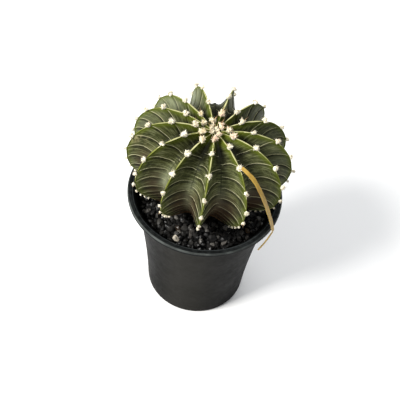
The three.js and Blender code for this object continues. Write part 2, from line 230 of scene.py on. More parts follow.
def product(first, *others):
    """All the values multiplied together."""
    for other in others:
        first = maths("MULTIPLY", first, other)
    return first


def ramp(value, low, high, start=0.0, end=1.0):
    """A smooth change from start to end while value goes from low to high."""
    kind = "ShaderNodeMapRange"
    numbers = (value, low, high, start, end)
    return add_node(value.id_data, kind, *numbers, interpolation_type="SMOOTHSTEP").outputs[0]


def rgb(red, green, blue):
    """A colour given as it looks on screen, as the linear values that nodes use."""
    share = np.array([red, green, blue]) / 255
    linear = np.where(share <= 0.04045, share / 12.92, ((share + 0.055) / 1.055) ** 2.4)
    return (*linear.tolist(), 1.0)


def mix(share, *colours):
    """Mixes two colours by a share. Three numbers are a colour as on screen."""
    step = add_node(share.id_data, "ShaderNodeMix", share, data_type="RGBA")
    sockets = [socket for socket in step.inputs if socket.type == "RGBA"]
    for socket, colour in zip(sockets, colours):
        feed(socket, rgb(*colour) if isinstance(colour, tuple) and len(colour) == 3 else colour)
    return [socket for socket in step.outputs if socket.type == "RGBA"][0]


def coat(under, colour, *masks):
    """Lays a colour over another where all the masks are high."""
    return mix(product(*masks), under, colour)


def read(tree, *names, output="Fac"):
    """Reads values stored on the mesh under these names."""
    return [add_node(tree, "ShaderNodeAttribute", attribute_name=n).outputs[output] for n in names]


def xyz(vector):
    """The three parts of a vector."""
    return add_node(vector.id_data, "ShaderNodeSeparateXYZ", vector).outputs


def noise(place, scale, detail=3.0, roughness=0.55):
    """Soft random cloud from 0 to 1."""
    made = add_node(place.id_data, "ShaderNodeTexNoise")
    feed_named(made, Vector=place, Scale=scale, Detail=detail, Roughness=roughness)
    return made.outputs["Fac"]


def stretched(first, first_scale, second, second_scale):
    """A place made of two stored values, each stretched by its own scale."""
    parts = product(first, first_scale), product(second, second_scale)
    return add_node(first.id_data, "ShaderNodeCombineXYZ", *parts).outputs[0]


def new_material(name):
    """An empty material: its graph, its Principled shader and the point on the piece."""
    material = bpy.data.materials.new(name)
    material.use_nodes = True
    tree = material.node_tree
    place = add_node(tree, "ShaderNodeTexCoord").outputs["Object"]
    return material, tree.nodes["Principled BSDF"], place


def add_bump(shader, height, distance, strength=1.0):
    """Turns a height into small dents of the surface, distance being in millimetres."""
    bump = add_node(shader.id_data, "ShaderNodeBump")
    feed_named(bump, Strength=strength, Distance=distance * MM, Height=height)
    feed_named(shader, Normal=bump.outputs["Normal"])


print("mid grey on screen is", round(rgb(128, 128, 128)[0], 3), "in linear light")

# %% [markdown]
# Two effects turn up on several surfaces. Dust settles on whatever faces up, and most
# natural or handled surfaces have blotches of two sizes. Each is a node group with named
# inputs and one output, built once and used with other values in each material.


# %% Shared node groups
def new_group(name, output, **inputs):
    """A node group with a place input, number inputs and one number output."""
    group = bpy.data.node_groups.new(name, "ShaderNodeTree")
    group.interface.new_socket("Place", in_out="INPUT", socket_type="NodeSocketVector")
    for label, value in inputs.items():
        label = label.replace("_", " ")
        socket = group.interface.new_socket(label, in_out="INPUT", socket_type="NodeSocketFloat")
        socket.default_value = value
    group.interface.new_socket(output, in_out="OUTPUT", socket_type="NodeSocketFloat")
    given = add_node(group, "NodeGroupInput").outputs
    return group, given, add_node(group, "NodeGroupOutput").inputs[0]


def make_dust_group():
    """Dust is where the surface faces up, times a cloud, times how much there is."""
    group, given, out = new_group("settled_dust", "Dust", Amount=0.5, Scale=200.0)
    normal = add_node(group, "ShaderNodeNewGeometry").outputs["Normal"]
    cloud = noise(given["Place"], given["Scale"], 5.0, 0.5)
    lying = ramp(xyz(normal)["Z"], -0.1, 0.9)
    feed(out, product(lying, ramp(cloud, 0.35, 0.7), given["Amount"]))
    return group


def make_blotch_group():
    """Blotches are a wide cloud and a fine one, blended by a share."""
    group, given, out = new_group("blotches", "Value", Scale=100.0, Fine_share=0.35)
    wide = noise(given["Place"], given["Scale"], 2.0, 0.5)
    fine = noise(given["Place"], product(given["Scale"], 6.0), 4.0, 0.5)
    step = add_node(group, "ShaderNodeMix", given["Fine share"], data_type="FLOAT")
    feed(step.inputs[2], wide)
    feed(step.inputs[3], fine)
    feed(out, step.outputs[0])
    return group


DUST = make_dust_group()
BLOTCHES = make_blotch_group()


def use_group(group, place, **values):
    """Places a shared effect in a material with its own values."""
    made = add_node(place.id_data, "ShaderNodeGroup", node_tree=group)
    feed_named(made, Place=place, **values)
    return made.outputs[0]


print("node groups:", [group.name for group in bpy.data.node_groups])

# %% [markdown]
# ## Floor and light
#
# The object stands on a plain pale floor. The light is that of a bright room: one broad
# lamp above the left front, a weaker one above and behind, and a pale world round it
# all. Broad lamps give soft shadows, so the flanks of the ribs shade off gently.

# %% Floor, lamps and world
FLOOR_SIDE = 4000.0
LAMP_AIM = Vector((0, 0, 90))


def make_floor():
    """A flat square in the plane z = 0, with a faint unevenness in its paleness."""
    half = FLOOR_SIDE / 2
    points = np.array([[-half, -half, 0], [half, -half, 0], [half, half, 0], [-half, half, 0]])
    mesh = make_mesh("floor", points, np.array([[0, 1, 2, 3]]))
    material, shader, place = new_material("pale_floor")
    cloud = use_group(BLOTCHES, place, Scale=3.0)
    colour = mix(cloud, (0.93, 0.93, 0.93, 1), (0.9, 0.9, 0.9, 1))
    feed_named(shader, Base_Color=colour, Roughness=0.9)
    mesh.materials.append(material)
    link("floor", mesh)


def add_lamp(name, place, side, power, colour):
    """A square lamp at a place in millimetres, turned to face the plant."""
    data = bpy.data.lights.new(name, "AREA")
    data.size = side * MM
    data.energy = power
    data.color = colour
    lamp = link(name, data)
    lamp.location = Vector(place) * MM
    lamp.rotation_euler = (LAMP_AIM - Vector(place)).to_track_quat("-Z", "Y").to_euler()


def make_world(brightness):
    """Even pale light from all round."""
    world = bpy.data.worlds.new("pale_room")
    world.use_nodes = True
    feed_named(world.node_tree.nodes["Background"], Color=(0.96, 0.98, 1.0, 1.0), Strength=brightness)
    bpy.context.scene.world = world


make_floor()
add_lamp("broad_lamp", (-620, -330, 700), 360, 15.0, (1.0, 0.985, 0.95))
add_lamp("top_lamp", (150, 350, 900), 500, 5.0, (0.98, 0.99, 1.0))
make_world(0.4)
bpy.context.scene.view_settings.view_transform = "Standard"
print("lamps:", [light.name for light in bpy.data.lights])

# %% [markdown]
# ## The pot
#
# The pot is thin black plastic, moulded in one piece: a tapered wall, a flat floor with
# drain holes, and a lip turned outwards and rolled over. A lathe shape could come from the
# screw modifier. Here it is a profile carried round a circle on a grid, because then
# the number of sides and the small unevenness of the lip are plain numbers. The profile's
# corners are the part's own sizes, and corners are rounded with short arcs.

# %% Pot sizes
POT_HEIGHT = 87.0
RIM_RADIUS = 45.0
FOOT_RADIUS = 31.2
WALL_TOP_RADIUS = 41.0
WALL_THICKNESS = 1.2
WALL_FLARE = 1.6
FLOOR_THICKNESS = 1.8
FOOT_ROUND = 1.2
LIP_DROP = 2.6
LIP_WIDTH = 3.6
LIP_ROUND = 0.8
LIP_SLOPE = 1.4
LIP_STEPS = ((1.2, 0.3), (1.45, 0.16), (2.6, 0.36), (2.85, 0.6), (3.1, 0.5), (3.25, 0.7))
POT_SIDES = 192
WALL_LEVELS = 22


def wall_radius(height):
    """Outside radius of the wall: a straight cone less a shallow bow."""
    rise = np.asarray(height) / POT_HEIGHT
    cone = FOOT_RADIUS + (WALL_TOP_RADIUS - FOOT_RADIUS) * rise
    return cone - WALL_FLARE * 4 * rise * (1 - rise)


def inner_radius(height):
    """Inside radius of the wall."""
    return wall_radius(height) - WALL_THICKNESS


def arc(centre, radius, start, end, count=5):
    """Points of a circle's arc in the plane of radius and height, angles in degrees."""
    angle = np.radians(np.linspace(start, end, count))
    return np.stack([centre[0] + radius * np.cos(angle), centre[1] + radius * np.sin(angle)], -1)


def pot_profile():
    """From the middle of the underside, up the outside, over the lip and down the inside."""
    lip_foot = POT_HEIGHT - LIP_DROP
    levels = np.linspace(3, lip_foot - 2.2, WALL_LEVELS)
    foot = FOOT_RADIUS - FOOT_ROUND
    under = wall_radius(lip_foot - 1)
    inner_foot = foot - WALL_THICKNESS
    return np.concatenate([
        [[foot * 0.5, 0.0], [foot - 1.5, 0.0]],
        arc((foot, FOOT_ROUND), FOOT_ROUND, -90, 0),
        np.stack([wall_radius(levels), levels], -1),
        arc((under + 1, lip_foot - 1), 1, 180, 90, 4),
        [[RIM_RADIUS - LIP_ROUND - 0.4, lip_foot]],
        arc((RIM_RADIUS - LIP_ROUND / 2, lip_foot + LIP_ROUND / 2), LIP_ROUND / 2, -90, 0),
        arc((RIM_RADIUS - LIP_ROUND, POT_HEIGHT - LIP_ROUND), LIP_ROUND, 0, 100),
        [[RIM_RADIUS - a, POT_HEIGHT - b] for a, b in LIP_STEPS],
        arc((RIM_RADIUS - LIP_WIDTH + 0.3, POT_HEIGHT - LIP_SLOPE - 0.2), 0.6, 90, 160, 4),
        [[inner_radius(lip_foot) + 0.7, lip_foot - 0.4]],
        np.stack([inner_radius(levels), levels], -1)[::-1],
        arc((inner_foot, FLOOR_THICKNESS + FOOT_ROUND), FOOT_ROUND, 0, -90),
        [[inner_foot * 0.5, FLOOR_THICKNESS]],
    ])


print("points in the pot's profile:", len(pot_profile()))

# %% Pot surface
DRAIN_HOLES = 5
DRAIN_RADIUS = 3.5
DRAIN_CIRCLE = 18.0
DRAIN_SIDES = 24


def turned(profile, sides, waver=None):
    """A profile of radius and height carried round Z, closed by a point at each end."""
    angle = circle(sides)
    radius, height = profile[:, :1], profile[:, 1:]
    if waver is not None:
        radius, height = waver(radius, height, angle[None, :])
    wide = np.broadcast_to(radius, (len(profile), sides))
    tall = np.broadcast_to(height, (len(profile), sides))
    rings = np.stack([wide * np.cos(angle), wide * np.sin(angle), tall], -1)
    return tube(rings, [[0, 0, profile[0, 1]], [0, 0, profile[-1, 1]]])


def soft_waver(radius, height, angle):
    """Thin plastic is never quite round: the wall and the lip waver by a few hundredths."""
    wave = 0.05 * np.sin(2 * angle + 0.7) + 0.03 * np.sin(5 * angle + 2)
    share = smooth(height, 20, POT_HEIGHT - 4) * (1 - smooth(height, POT_HEIGHT - 3.5, POT_HEIGHT))
    return radius + wave * share, height + 0 * angle


def cut_drains(mesh):
    """Cuts round holes through the floor with a Boolean modifier, then keeps the result."""
    angle = circle(DRAIN_HOLES)
    plug = np.array([[DRAIN_RADIUS, -3.0], [DRAIN_RADIUS, FLOOR_THICKNESS + 3.0]])
    points, *face_sets = turned(plug, DRAIN_SIDES)
    shifts = DRAIN_CIRCLE * np.stack([np.cos(angle), np.sin(angle), 0 * angle], -1)
    plugs = (points[None] + shifts[:, None]).reshape(-1, 3)
    faces = [repeated(each, len(points), DRAIN_HOLES) for each in face_sets]
    cutter = link("drain_cutter", make_mesh("drain_cutter", plugs, *faces))
    shell = link("pot_blank", mesh)
    cut = shell.modifiers.new("drains", "BOOLEAN")
    cut.operation = "DIFFERENCE"
    cut.solver = "EXACT"
    cut.object = cutter
    evaluated = shell.evaluated_get(bpy.context.evaluated_depsgraph_get())
    result = bpy.data.meshes.new_from_object(evaluated)
    for used in (cutter, shell):
        bpy.data.objects.remove(used)
    result.name = "pot_shell"
    return result


pot_mesh = cut_drains(make_mesh("pot_blank", *turned(pot_profile(), POT_SIDES, soft_waver)))
print("points in the pot with its drains:", len(pot_mesh.vertices))

# %% [markdown]
# Satin black plastic is not pure black. It shows a soft grey sheen, some dust where it faces
# up, and fine scuffed marks. Its colour is nearly flat, so most of the work is in where
# the light catches, and that light and shade is painted into the colour: a painted sheen on
# the front of the wall, a painted highlight on the bead inside the lip, a patchy painted
# highlight along the edge outside it, and painted shade below the lip and inside the pot.
# The masks are distances on the pot, in metres.

# %% Pot finish
# Places of painted light and shade on the pot: a sheen on the front of the wall, shade below the lip,
# highlights on the bead and the outer edge of the lip, shade on the inside.
SHEEN_SIDE, SHEEN_FRONT = (0.004, 0.024), (-0.02, -0.005)
SHADE_BELOW_LIP, LIP_START = (0.0795, 0.084), (0.0841, 0.0845)
BEAD_HIGHLIGHT_IN, BEAD_HIGHLIGHT_OUT = (0.0413, 0.0417), (0.042, 0.0423)
EDGE_HIGHLIGHT_RADIUS, EDGE_HIGHLIGHT_HEIGHT = (0.0441, 0.0446), (0.0854, 0.0864)
SHADE_INSIDE_WALL = (-0.0009, -0.0004)


def pot_plastic():
    """Dark wall with a painted sheen in front, paler lip with painted highlights on its bead and outer
    edge, painted shade below the lip and inside.
    """
    material, shader, place = new_material("satin_black_plastic")
    x, y, z = xyz(place)
    radius = maths("SQRT", maths("ADD", product(x, x), product(y, y)))
    cloud = use_group(BLOTCHES, place, Scale=60.0, Fine_share=0.5)
    beside = maths("ABSOLUTE", maths("ADD", x, 0.004))
    painted_sheen = ramp(beside, *SHEEN_SIDE, 1, 0), ramp(y, *SHEEN_FRONT, 0.8, 0)
    # Painted sheen: a paler patch on the front of the wall stands for its reflection of the pale floor.
    wall = coat(mix(cloud, (7, 7, 7), (11, 11, 10)), (39, 38, 35), *painted_sheen)
    # Painted shade just below the lip, where its overhang shades the wall.
    wall = coat(wall, (3, 3, 3), ramp(z, *SHADE_BELOW_LIP, 0, 0.92))
    dust = use_group(DUST, place, Amount=0.12, Scale=350.0)
    lip = coat(mix(cloud, (9, 10, 10), (22, 24, 24)), (84, 90, 90), dust)
    # Painted highlight: a pale line on the bead inside the lip.
    lip = coat(lip, (72, 76, 78), ramp(radius, *BEAD_HIGHLIGHT_IN), ramp(radius, *BEAD_HIGHLIGHT_OUT, 0.45, 0))
    # Painted highlight, in patches, along the outer edge of the lip.
    edge_highlight = ramp(radius, *EDGE_HIGHLIGHT_RADIUS), ramp(z, *EDGE_HIGHLIGHT_HEIGHT)
    patchy = ramp(noise(place, 120.0), 0.35, 0.6, 0.3, 0.8)
    lip = coat(lip, (84, 88, 86), *edge_highlight, patchy)
    # Painted shade: points inside the outer wall's radius, the inside of the pot, are darkened.
    rise = maths("DIVIDE", z, POT_HEIGHT * MM)
    cone = maths("MULTIPLY_ADD", rise, (WALL_TOP_RADIUS - FOOT_RADIUS) * MM, FOOT_RADIUS * MM)
    bow = product(maths("SUBTRACT", 1.0, rise), rise)
    outer = maths("MULTIPLY_ADD", bow, -4 * WALL_FLARE * MM, cone)
    inside = ramp(maths("SUBTRACT", radius, outer), *SHADE_INSIDE_WALL, 0.85, 0)
    colour = coat(mix(ramp(z, *LIP_START), wall, lip), (4, 4, 4), inside)
    gloss = ramp(cloud, 0.3, 0.75, 0.42, 0.58)
    feed_named(shader, Base_Color=colour, Roughness=gloss, Specular_IOR_Level=0.03)
    add_bump(shader, noise(place, 900.0, 4.0), 0.05, 0.6)
    return material


add_piece(pot_mesh, pot_plastic(), "pot")

# %% [markdown]
# ## Soil
#
# Dark potting mix fills the pot under the gravel. The CAD solid has the right shape and is
# all but hidden, so it keeps its mesh and only gets a crumbly brown finish.


# %% Soil finish
def potting_mix():
    """Crumbs of dark brown and black with a few pale specks of grit."""
    material, shader, place = new_material("potting_mix")
    crumbs = use_group(BLOTCHES, place, Scale=400.0, Fine_share=0.5)
    earth = mix(crumbs, (26, 18, 12), (74, 54, 38))
    colour = coat(earth, (150, 140, 125), ramp(noise(place, 900.0, 1.0), 0.68, 0.74))
    feed_named(shader, Base_Color=colour, Roughness=0.95)
    add_bump(shader, crumbs, 1.2)
    return material


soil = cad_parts["soil"]
soil.data.materials.clear()
soil.data.materials.append(potting_mix())

# %% [markdown]
# ## Gravel
#
# The soil is covered with crushed black stone, each grain 2 to 5 mm across, with flat broken
# faces and sharp corners. A particle system could scatter copies of one stone, but the
# stones would look alike. Instead each stone is a ball of directions cut back by its own
# few random planes: the distance in a direction is the nearest plane's. They are spread by
# pushing random points apart, and lie in two layers on a bed that is painted dark, as are
# the lower stones, for the shade in the gaps between them.

# %% Stone shapes
GRAVEL_LEVEL = 79.6
STONE_COUNT = 560
STONE_LAYERS = 2
STONE_PLANES = 8
rng = np.random.default_rng(41)


def make_ball():
    """Directions of an icosahedron, with each of its faces split once into four."""
    golden = (1 + 5 ** 0.5) / 2
    corners = [(a, b * golden, 0) for a in (-1, 1) for b in (-1, 1)]
    points = unit(np.array([p[i:] + p[:i] for i in range(3) for p in corners], float))
    apart = np.linalg.norm(points[:, None] - points[None], axis=-1)
    near = (apart > 0.1) & (apart < 1.2)
    faces = np.array([
        (a, b, c)
        for a in range(12) for b in range(a + 1, 12) for c in range(b + 1, 12)
        if near[a, b] and near[b, c] and near[a, c]
    ])
    outward = np.linalg.det(points[faces]) > 0
    faces[~outward] = faces[~outward][:, ::-1]
    edges = np.sort(np.concatenate([faces[:, [0, 1]], faces[:, [1, 2]], faces[:, [2, 0]]]), 1)
    unique, number = np.unique(edges, axis=0, return_inverse=True)
    ab, bc, ca = number.reshape(3, -1) + len(points)
    a, b, c = faces.T
    quarters = ((a, ab, ca), (b, bc, ab), (c, ca, bc), (ab, bc, ca))
    faces = np.concatenate([np.stack(quarter, -1) for quarter in quarters])
    return np.concatenate([points, unit(points[unique].sum(1))]), faces


BALL, BALL_FACES = make_ball()


def broken_stones(count):
    """Each direction's distance is the nearest of the stone's planes, d / cos(angle to it)."""
    normals = unit(rng.normal(size=(count, STONE_PLANES, 3)))
    depth = rng.uniform(0.55, 0.95, (count, STONE_PLANES))
    cosine = np.einsum("npk,dk->npd", normals, BALL)
    reach = np.where(cosine > 0.05, depth[..., None] / np.maximum(cosine, 0.05), 9.0)
    return BALL[None] * np.minimum(reach.min(1), 1.25)[..., None]


def random_turns(count):
    """Random rotation matrices, from random unit quaternions."""
    w, x, y, z = unit(rng.normal(size=(count, 4))).T
    return np.stack([
        1 - 2 * (y * y + z * z), 2 * (x * y - w * z), 2 * (x * z + w * y),
        2 * (x * y + w * z), 1 - 2 * (x * x + z * z), 2 * (y * z - w * x),
        2 * (x * z - w * y), 2 * (y * z + w * x), 1 - 2 * (x * x + y * y),
    ], -1).reshape(-1, 3, 3)


def spread_points(count, radius, rounds=30):
    """Random places in a disc, pushed apart from their near neighbours in small rounds."""
    angle = rng.uniform(0, 2 * np.pi, count)
    outwards = radius * np.sqrt(rng.uniform(0, 1, count))[:, None]
    places = outwards * np.stack([np.cos(angle), np.sin(angle)], -1)
    wanted = radius * math.sqrt(math.pi / count) * 1.02
    for _ in range(rounds):
        gap = places[:, None] - places[None]
        distance = np.linalg.norm(gap, axis=-1) + np.eye(count) * 1e3
        push = np.clip(wanted - distance, 0, None) / wanted
        places += (gap / distance[..., None] * push[..., None]).sum(1) * wanted * 0.25
        away = np.linalg.norm(places, axis=1)
        places *= np.minimum(1, radius / np.maximum(away, 1e-6))[:, None]
    return places


print("directions of a stone:", len(BALL), "and faces:", len(BALL_FACES))

# %% Gravel bed and stones
BED_FOOT = 75.0
BED_DROP = 2.2
BED_GAP = 0.4
BED_RINGS = 13
BED_SIDES = 64
LAYER_STEP = 1.7
LAYER_CLEARANCE = 1.9
STONE_SIZES = (1.35, 2.25)
LARGE_SHARE, LARGE_SCALE = 0.12, 1.25
ROOT_PLACE = np.array([-1.97, 2.67])
ROOT_CLEARANCE = 14.0
PALE_CHIP = np.array([-13.9, -30.8])


def make_gravel_bed():
    """A closed disc whose top is rolled into low humps, painted dark as the shade between the stones."""
    top = GRAVEL_LEVEL - BED_DROP
    outer, low = inner_radius(top) - BED_GAP, inner_radius(BED_FOOT) - BED_GAP
    inwards = outer * (1 - np.linspace(0, 1, BED_RINGS + 1)[:-1])
    upper = np.stack([inwards, np.full(BED_RINGS, top)], -1)
    profile = np.concatenate([[[low * 0.5, BED_FOOT], [low, BED_FOOT]], upper])

    def humps(radius, height, angle):
        """Low waves in the top, none at the edge or underneath."""
        wave = 0.35 * np.sin(radius * 1.7 + 3 * np.sin(4 * angle)) * np.sin(7 * angle + radius)
        return radius + 0 * angle, height + wave * (height > top - 0.1) * (radius < outer - 1)

    mesh = make_mesh("gravel_bed", *turned(profile, BED_SIDES, humps))
    # Tone 0 gives the bed the darkest colour: painted shade in the gaps between the stones.
    add_attribute(mesh, "tone", np.zeros(len(mesh.vertices)))
    return mesh


def nearest_stone(places, spot):
    """The top stone nearest a spot seen in the gravel."""
    return np.argmin(np.linalg.norm(places[:, :2] - spot, axis=1) - 0.3 * places[:, 2])


def make_gravel_stones():
    """Stones of two layers, each scaled, turned and laid, with one tone number each."""
    layers = []
    for layer in range(STONE_LAYERS):
        height = GRAVEL_LEVEL - LAYER_STEP + LAYER_STEP * layer
        flat = spread_points(STONE_COUNT, inner_radius(height) - LAYER_CLEARANCE)
        flat = flat[np.linalg.norm(flat - ROOT_PLACE, axis=1) > ROOT_CLEARANCE]
        high = height + rng.uniform(-0.7, 0.7, len(flat))
        layers.append(np.column_stack([flat, high]))
    places = np.concatenate(layers)
    count = len(places)
    size = rng.uniform(*STONE_SIZES, count)
    size = size * np.where(rng.random(count) < LARGE_SHARE, LARGE_SCALE, 1.0)
    edge = inner_radius(places[:, 2]) - np.linalg.norm(places[:, :2], axis=1) - 0.25
    size = np.minimum(size, np.maximum(edge, 0.8) / 1.1)
    stretch = rng.uniform(0.75, 1.2, (count, 1, 3)) * size[:, None, None]
    shapes = np.einsum("nij,npj->npi", random_turns(count), broken_stones(count) * stretch)
    points = (shapes + places[:, None]).reshape(-1, 3)
    mesh = make_mesh("gravel_stones", points, repeated(BALL_FACES, len(BALL), count))
    # Stones of the lower layer get tones 0.4 times as high, so darker: painted shade in the gaps between
    # the top stones.
    tones = 0.985 * rng.random(count) * np.where(places[:, 2] < GRAVEL_LEVEL - 0.9, 0.4, 1.0)
    tones[nearest_stone(places, PALE_CHIP)] = 1.0
    add_attribute(mesh, "tone", np.repeat(tones, len(BALL)))
    return mesh


bed_mesh, stones_mesh = make_gravel_bed(), make_gravel_stones()
print("stones:", len(stones_mesh.vertices) // len(BALL))

# %% [markdown]
# Crushed stone is charcoal on the whole, with some grey and brown, and one pale chip. Each
# stone has one random number on its mesh, and a colour ramp turns it into a tone. Broken
# faces differ in gloss, which gives the small grey glints.

# %% Gravel finish
STONE_TONES = (
    (0.5, (6, 6, 6)), (0.7, (18, 17, 16)), (0.84, (46, 45, 43)),
    (0.93, (108, 105, 100)), (0.95, (38, 28, 20)), (0.985, (62, 48, 34)),
)
DARKEST_STONE, PALEST_STONE = (3, 3, 4), (206, 197, 180)


def crushed_stone():
    """A ramp from the stone's number, dust on top, and gloss in fine blotches."""
    material, shader, place = new_material("crushed_black_stone")
    tree = shader.id_data
    tones = add_node(tree, "ShaderNodeValToRGB", *read(tree, "tone"))
    stops = tones.color_ramp.elements
    stops[0].position, stops[0].color = 0.0, rgb(*DARKEST_STONE)
    stops[1].position, stops[1].color = 1.0, rgb(*PALEST_STONE)
    for position, colour in STONE_TONES:
        stops.new(position).color = rgb(*colour)
    grain = use_group(BLOTCHES, place, Scale=500.0, Fine_share=0.5)
    dust = use_group(DUST, place, Amount=0.1, Scale=500.0)
    mottled = coat(tones.outputs[0], (8, 8, 9), ramp(grain, 0.4, 0.7))
    colour = coat(mottled, (96, 92, 88), dust)
    gloss = ramp(grain, 0.35, 0.65, 0.3, 0.6)
    feed_named(shader, Base_Color=colour, Roughness=gloss, Specular_IOR_Level=0.24)
    add_bump(shader, noise(place, 1500.0, 5.0), 0.08, 0.6)
    return material


stone_finish = crushed_stone()
add_piece(bed_mesh, stone_finish, "gravel")
add_piece(stones_mesh, stone_finish, "gravel", faceted=True)

# %% [markdown]
# ## The cactus body
#
# The plant grew as one body. Thirteen ribs fall from a sunken crown over a broad shoulder to
# a narrow neck. Each rib has a thin crest, and each time it made an areole it also made
# a pale raised band across both flanks, like overlapping boards. Sculpting would take
# long and could not be measured. Instead the skin is a function: one parameter counts
# areoles down a rib, and the other goes across the flank from the crest to the valley.
# Crest and valley are two smooth curves, and the flank blends between them. Each pair is
# a radius and a height from the plant's centre, and both end in the same root. Every rib
# has its own angle, growth, and shift and spacing of areoles, in the tables below.

# %% Crest, valley and ribs
ROOT = [[16.2, -36], [13, -46], [6, -52.6], [0, -53.4]]
CREST = np.array([
    [0, 21.4], [7.7, 23.5], [19.6, 24.9], [32.7, 22.1], [42, 13.4], [45.7, 3.2],
    [45.2, -5.2], [42.8, -11.3], [39.7, -15.1], [36.8, -17.9], [34.1, -20.2], [31.3, -22.2],
    [25.6, -25.9], [17.6, -30.5], *ROOT,
])
VALLEY = np.array([
    [0, 21.4], [7, 20.6], [15.5, 19.3], [24.3, 15.6], [30.2, 8.2], [32.4, 0.8],
    [32, -6], [30.2, -11], [28.2, -14.8], [26.2, -17.9], [24.2, -20.3], [22.2, -22.6],
    [19.6, -26], [16.9, -30.5], *ROOT,
])
RIBS = 13
FIRST_RIB = -87.7
RIB_OFFSET = np.array([-3.5, -5.4, -4.2, -4, 0.6, 5, 1.8, -0.9, 0.4, -0.1, 2.3, 4.7, -0.2])
RIB_PHASE = np.array([0.09, 0.51, -0.07, 0.25, -0.24, 0.19, -0.17, 0.34, -0.12, 0.66, 0.05, 0.45, -0.21])
RIB_STRETCH = np.array([0.99, 1, 0.95, 0.96, 0.92, 0.91, 1, 1.02, 1.12, 1.02, 1.03, 1.06, 1.06])
RIB_GROWTH = np.array([0.985, 0.975, 1, 1.015, 1.02, 1.02, 1.03, 1.03, 1.03, 1.02, 1.02, 1.01, 0.98])
VALLEY_FILL = np.array([0, 0, 0, 0, 0, 0, 0.2, 0.2, 0, 0, 0, 0, 0])
LEAN_RIGHT = math.radians(3.7)
LEAN_BACK = math.radians(-2.5)
CENTRE = np.array([0.0, 4.0, 110.5])
NECK_HEIGHT = -30.5
NECK_BLEND = 12.0
VALLEY_ROUND = 0.3
BAND_LIFT = 1.0
BAND_CLIMB_POWER = 6
LAST_AREOLE = 9


def along(pairs, count):
    """A smooth curve through the pairs, a cubic of four neighbours. The second is at 0."""
    last = len(pairs) - 1
    place = np.clip(np.asarray(count, float) + 1, 0, last - 1e-6)
    whole = np.floor(place).astype(int)
    w = (place - whole)[..., None]
    a, b, c, d = (pairs[np.clip(whole + k, 0, last)] for k in (-1, 0, 1, 2))
    return 0.5 * (2 * b + (c - a) * w + (2 * a - 5 * b + 4 * c - d) * w**2 + (3 * b - a - 3 * c + d) * w**3)


def band_lift(count, across):
    """How far a row climbs from crest to valley, in areole steps: steep first, then level."""
    climb = BAND_LIFT * smooth(count, 0.4, 5.4) * (1 - smooth(count, 8, 11))
    return climb * (1 - (1 - across) ** BAND_CLIMB_POWER)


def rib_angle(rib):
    """Even steps clockwise from the front rib, plus each rib's own offset."""
    rib = np.asarray(rib)
    return np.radians(FIRST_RIB - rib * 360 / RIBS + RIB_OFFSET[rib % RIBS])


turn_y = np.array(Matrix.Rotation(LEAN_RIGHT, 3, "Y"))
turn_x = np.array(Matrix.Rotation(LEAN_BACK, 3, "X"))
LEAN = turn_y @ turn_x
NECK = np.array([0, 0, NECK_HEIGHT])
ROOT_SHIFT = LEAN @ NECK - NECK


def lean(points):
    """The body leans; below the neck the root goes straight down."""
    share = smooth(points[..., 2], NECK_HEIGHT, NECK_HEIGHT + NECK_BLEND)[..., None]
    return (points + ROOT_SHIFT) * (1 - share) + (points @ LEAN.T) * share + CENTRE


def skin_point(count, rib, side, across):
    """Blends crest and valley by (1 - across) to a power, then turns it to its angle."""
    lifted = count - band_lift(count, across)
    share = (1 - across) ** (1.75 - 0.45 * smooth(lifted, 1, 5))
    share = (np.hypot(share, VALLEY_ROUND) - VALLEY_ROUND) / (math.hypot(1, VALLEY_ROUND) - VALLEY_ROUND)
    fill = VALLEY_FILL[np.where(side > 0, rib, rib - 1) % RIBS] * across ** 2
    share = (share + (1 - share) * fill)[..., None]
    full = RIB_GROWTH[rib] + (RIB_GROWTH[(rib + side) % RIBS] - RIB_GROWTH[rib]) * across / 2
    larger = 1 + (full - 1) * smooth(lifted, -0.5, 1.2) * (1 - smooth(lifted, 6, 9))
    pair = (along(VALLEY, lifted) * (1 - share) + along(CREST, lifted) * share) * larger[..., None]
    angle = rib_angle(rib) + across * 0.5 * (rib_angle(rib + side) - rib_angle(rib))
    return lean(np.stack([pair[..., 0] * np.cos(angle), pair[..., 0] * np.sin(angle), pair[..., 1]], -1))


first_points = skin_point(np.arange(3.0), np.zeros(3, int), 1, np.zeros(3))
print("first crest points:", np.round(first_points, 1).tolist())

# %% [markdown]
# The grid has 29 columns for each rib: 14 down one flank, the crest, and 14 down the other.
# The two columns that meet in a valley are one and the same in the mesh, but each
# corner of a face keeps its own rib's numbers, so that the bands of neighbouring ribs can
# meet at different heights. Rows lie closer together where the bands do. The tables say
# how much further the bands climb on each flank of a rib, how waxy each rib and each
# valley looks, where high values also stand for painted light on lit faces, and how brown
# a rib is low down, where the higher values on the right-hand ribs are painted shade.

# %% Rows, columns and growth bands
FLANK = np.array([0.012, 0.03, 0.06, 0.1, 0.16, 0.24, 0.33, 0.43, 0.54, 0.65, 0.76, 0.87, 0.95, 1.0])
BODY_ROWS = 262
FIRST_COUNT, LAST_COUNT = -0.93, len(CREST) - 2.06
BAND_HEIGHT = 0.5
BAND_DROP = 0.25
CREST_BULGE = 0.6
LEFT_CLIMB = np.array([0.08, 0, 0, 0, 0, 0, 0, 0, 0, 0.22, 0, 0.05, 0.24])
RIGHT_CLIMB = np.array([-0.21, 0, -0.13, 0, 0, 0, 0, 0, 0, 0, 0, 0, 0])
# A grey waxy coat, and painted light too: the high values, as on the rear ribs and in the valley between
# ribs 1 and 2, make lit faces paler.
RIB_WAX_AND_LIGHT = np.array([0.05, 0.05, 0.0, 0.0, 0.3, 0.8, 0.8, 0.3, 0.15, 0.15, 0.25, 0.1, 0.05])
VALLEY_WAX_AND_LIGHT = np.array([0.6, 1.0, 0.25, 0.3, 0.5, 0.8, 0.6, 0.4, 0.4, 0.3, 0.3, 0.3, 0.3])
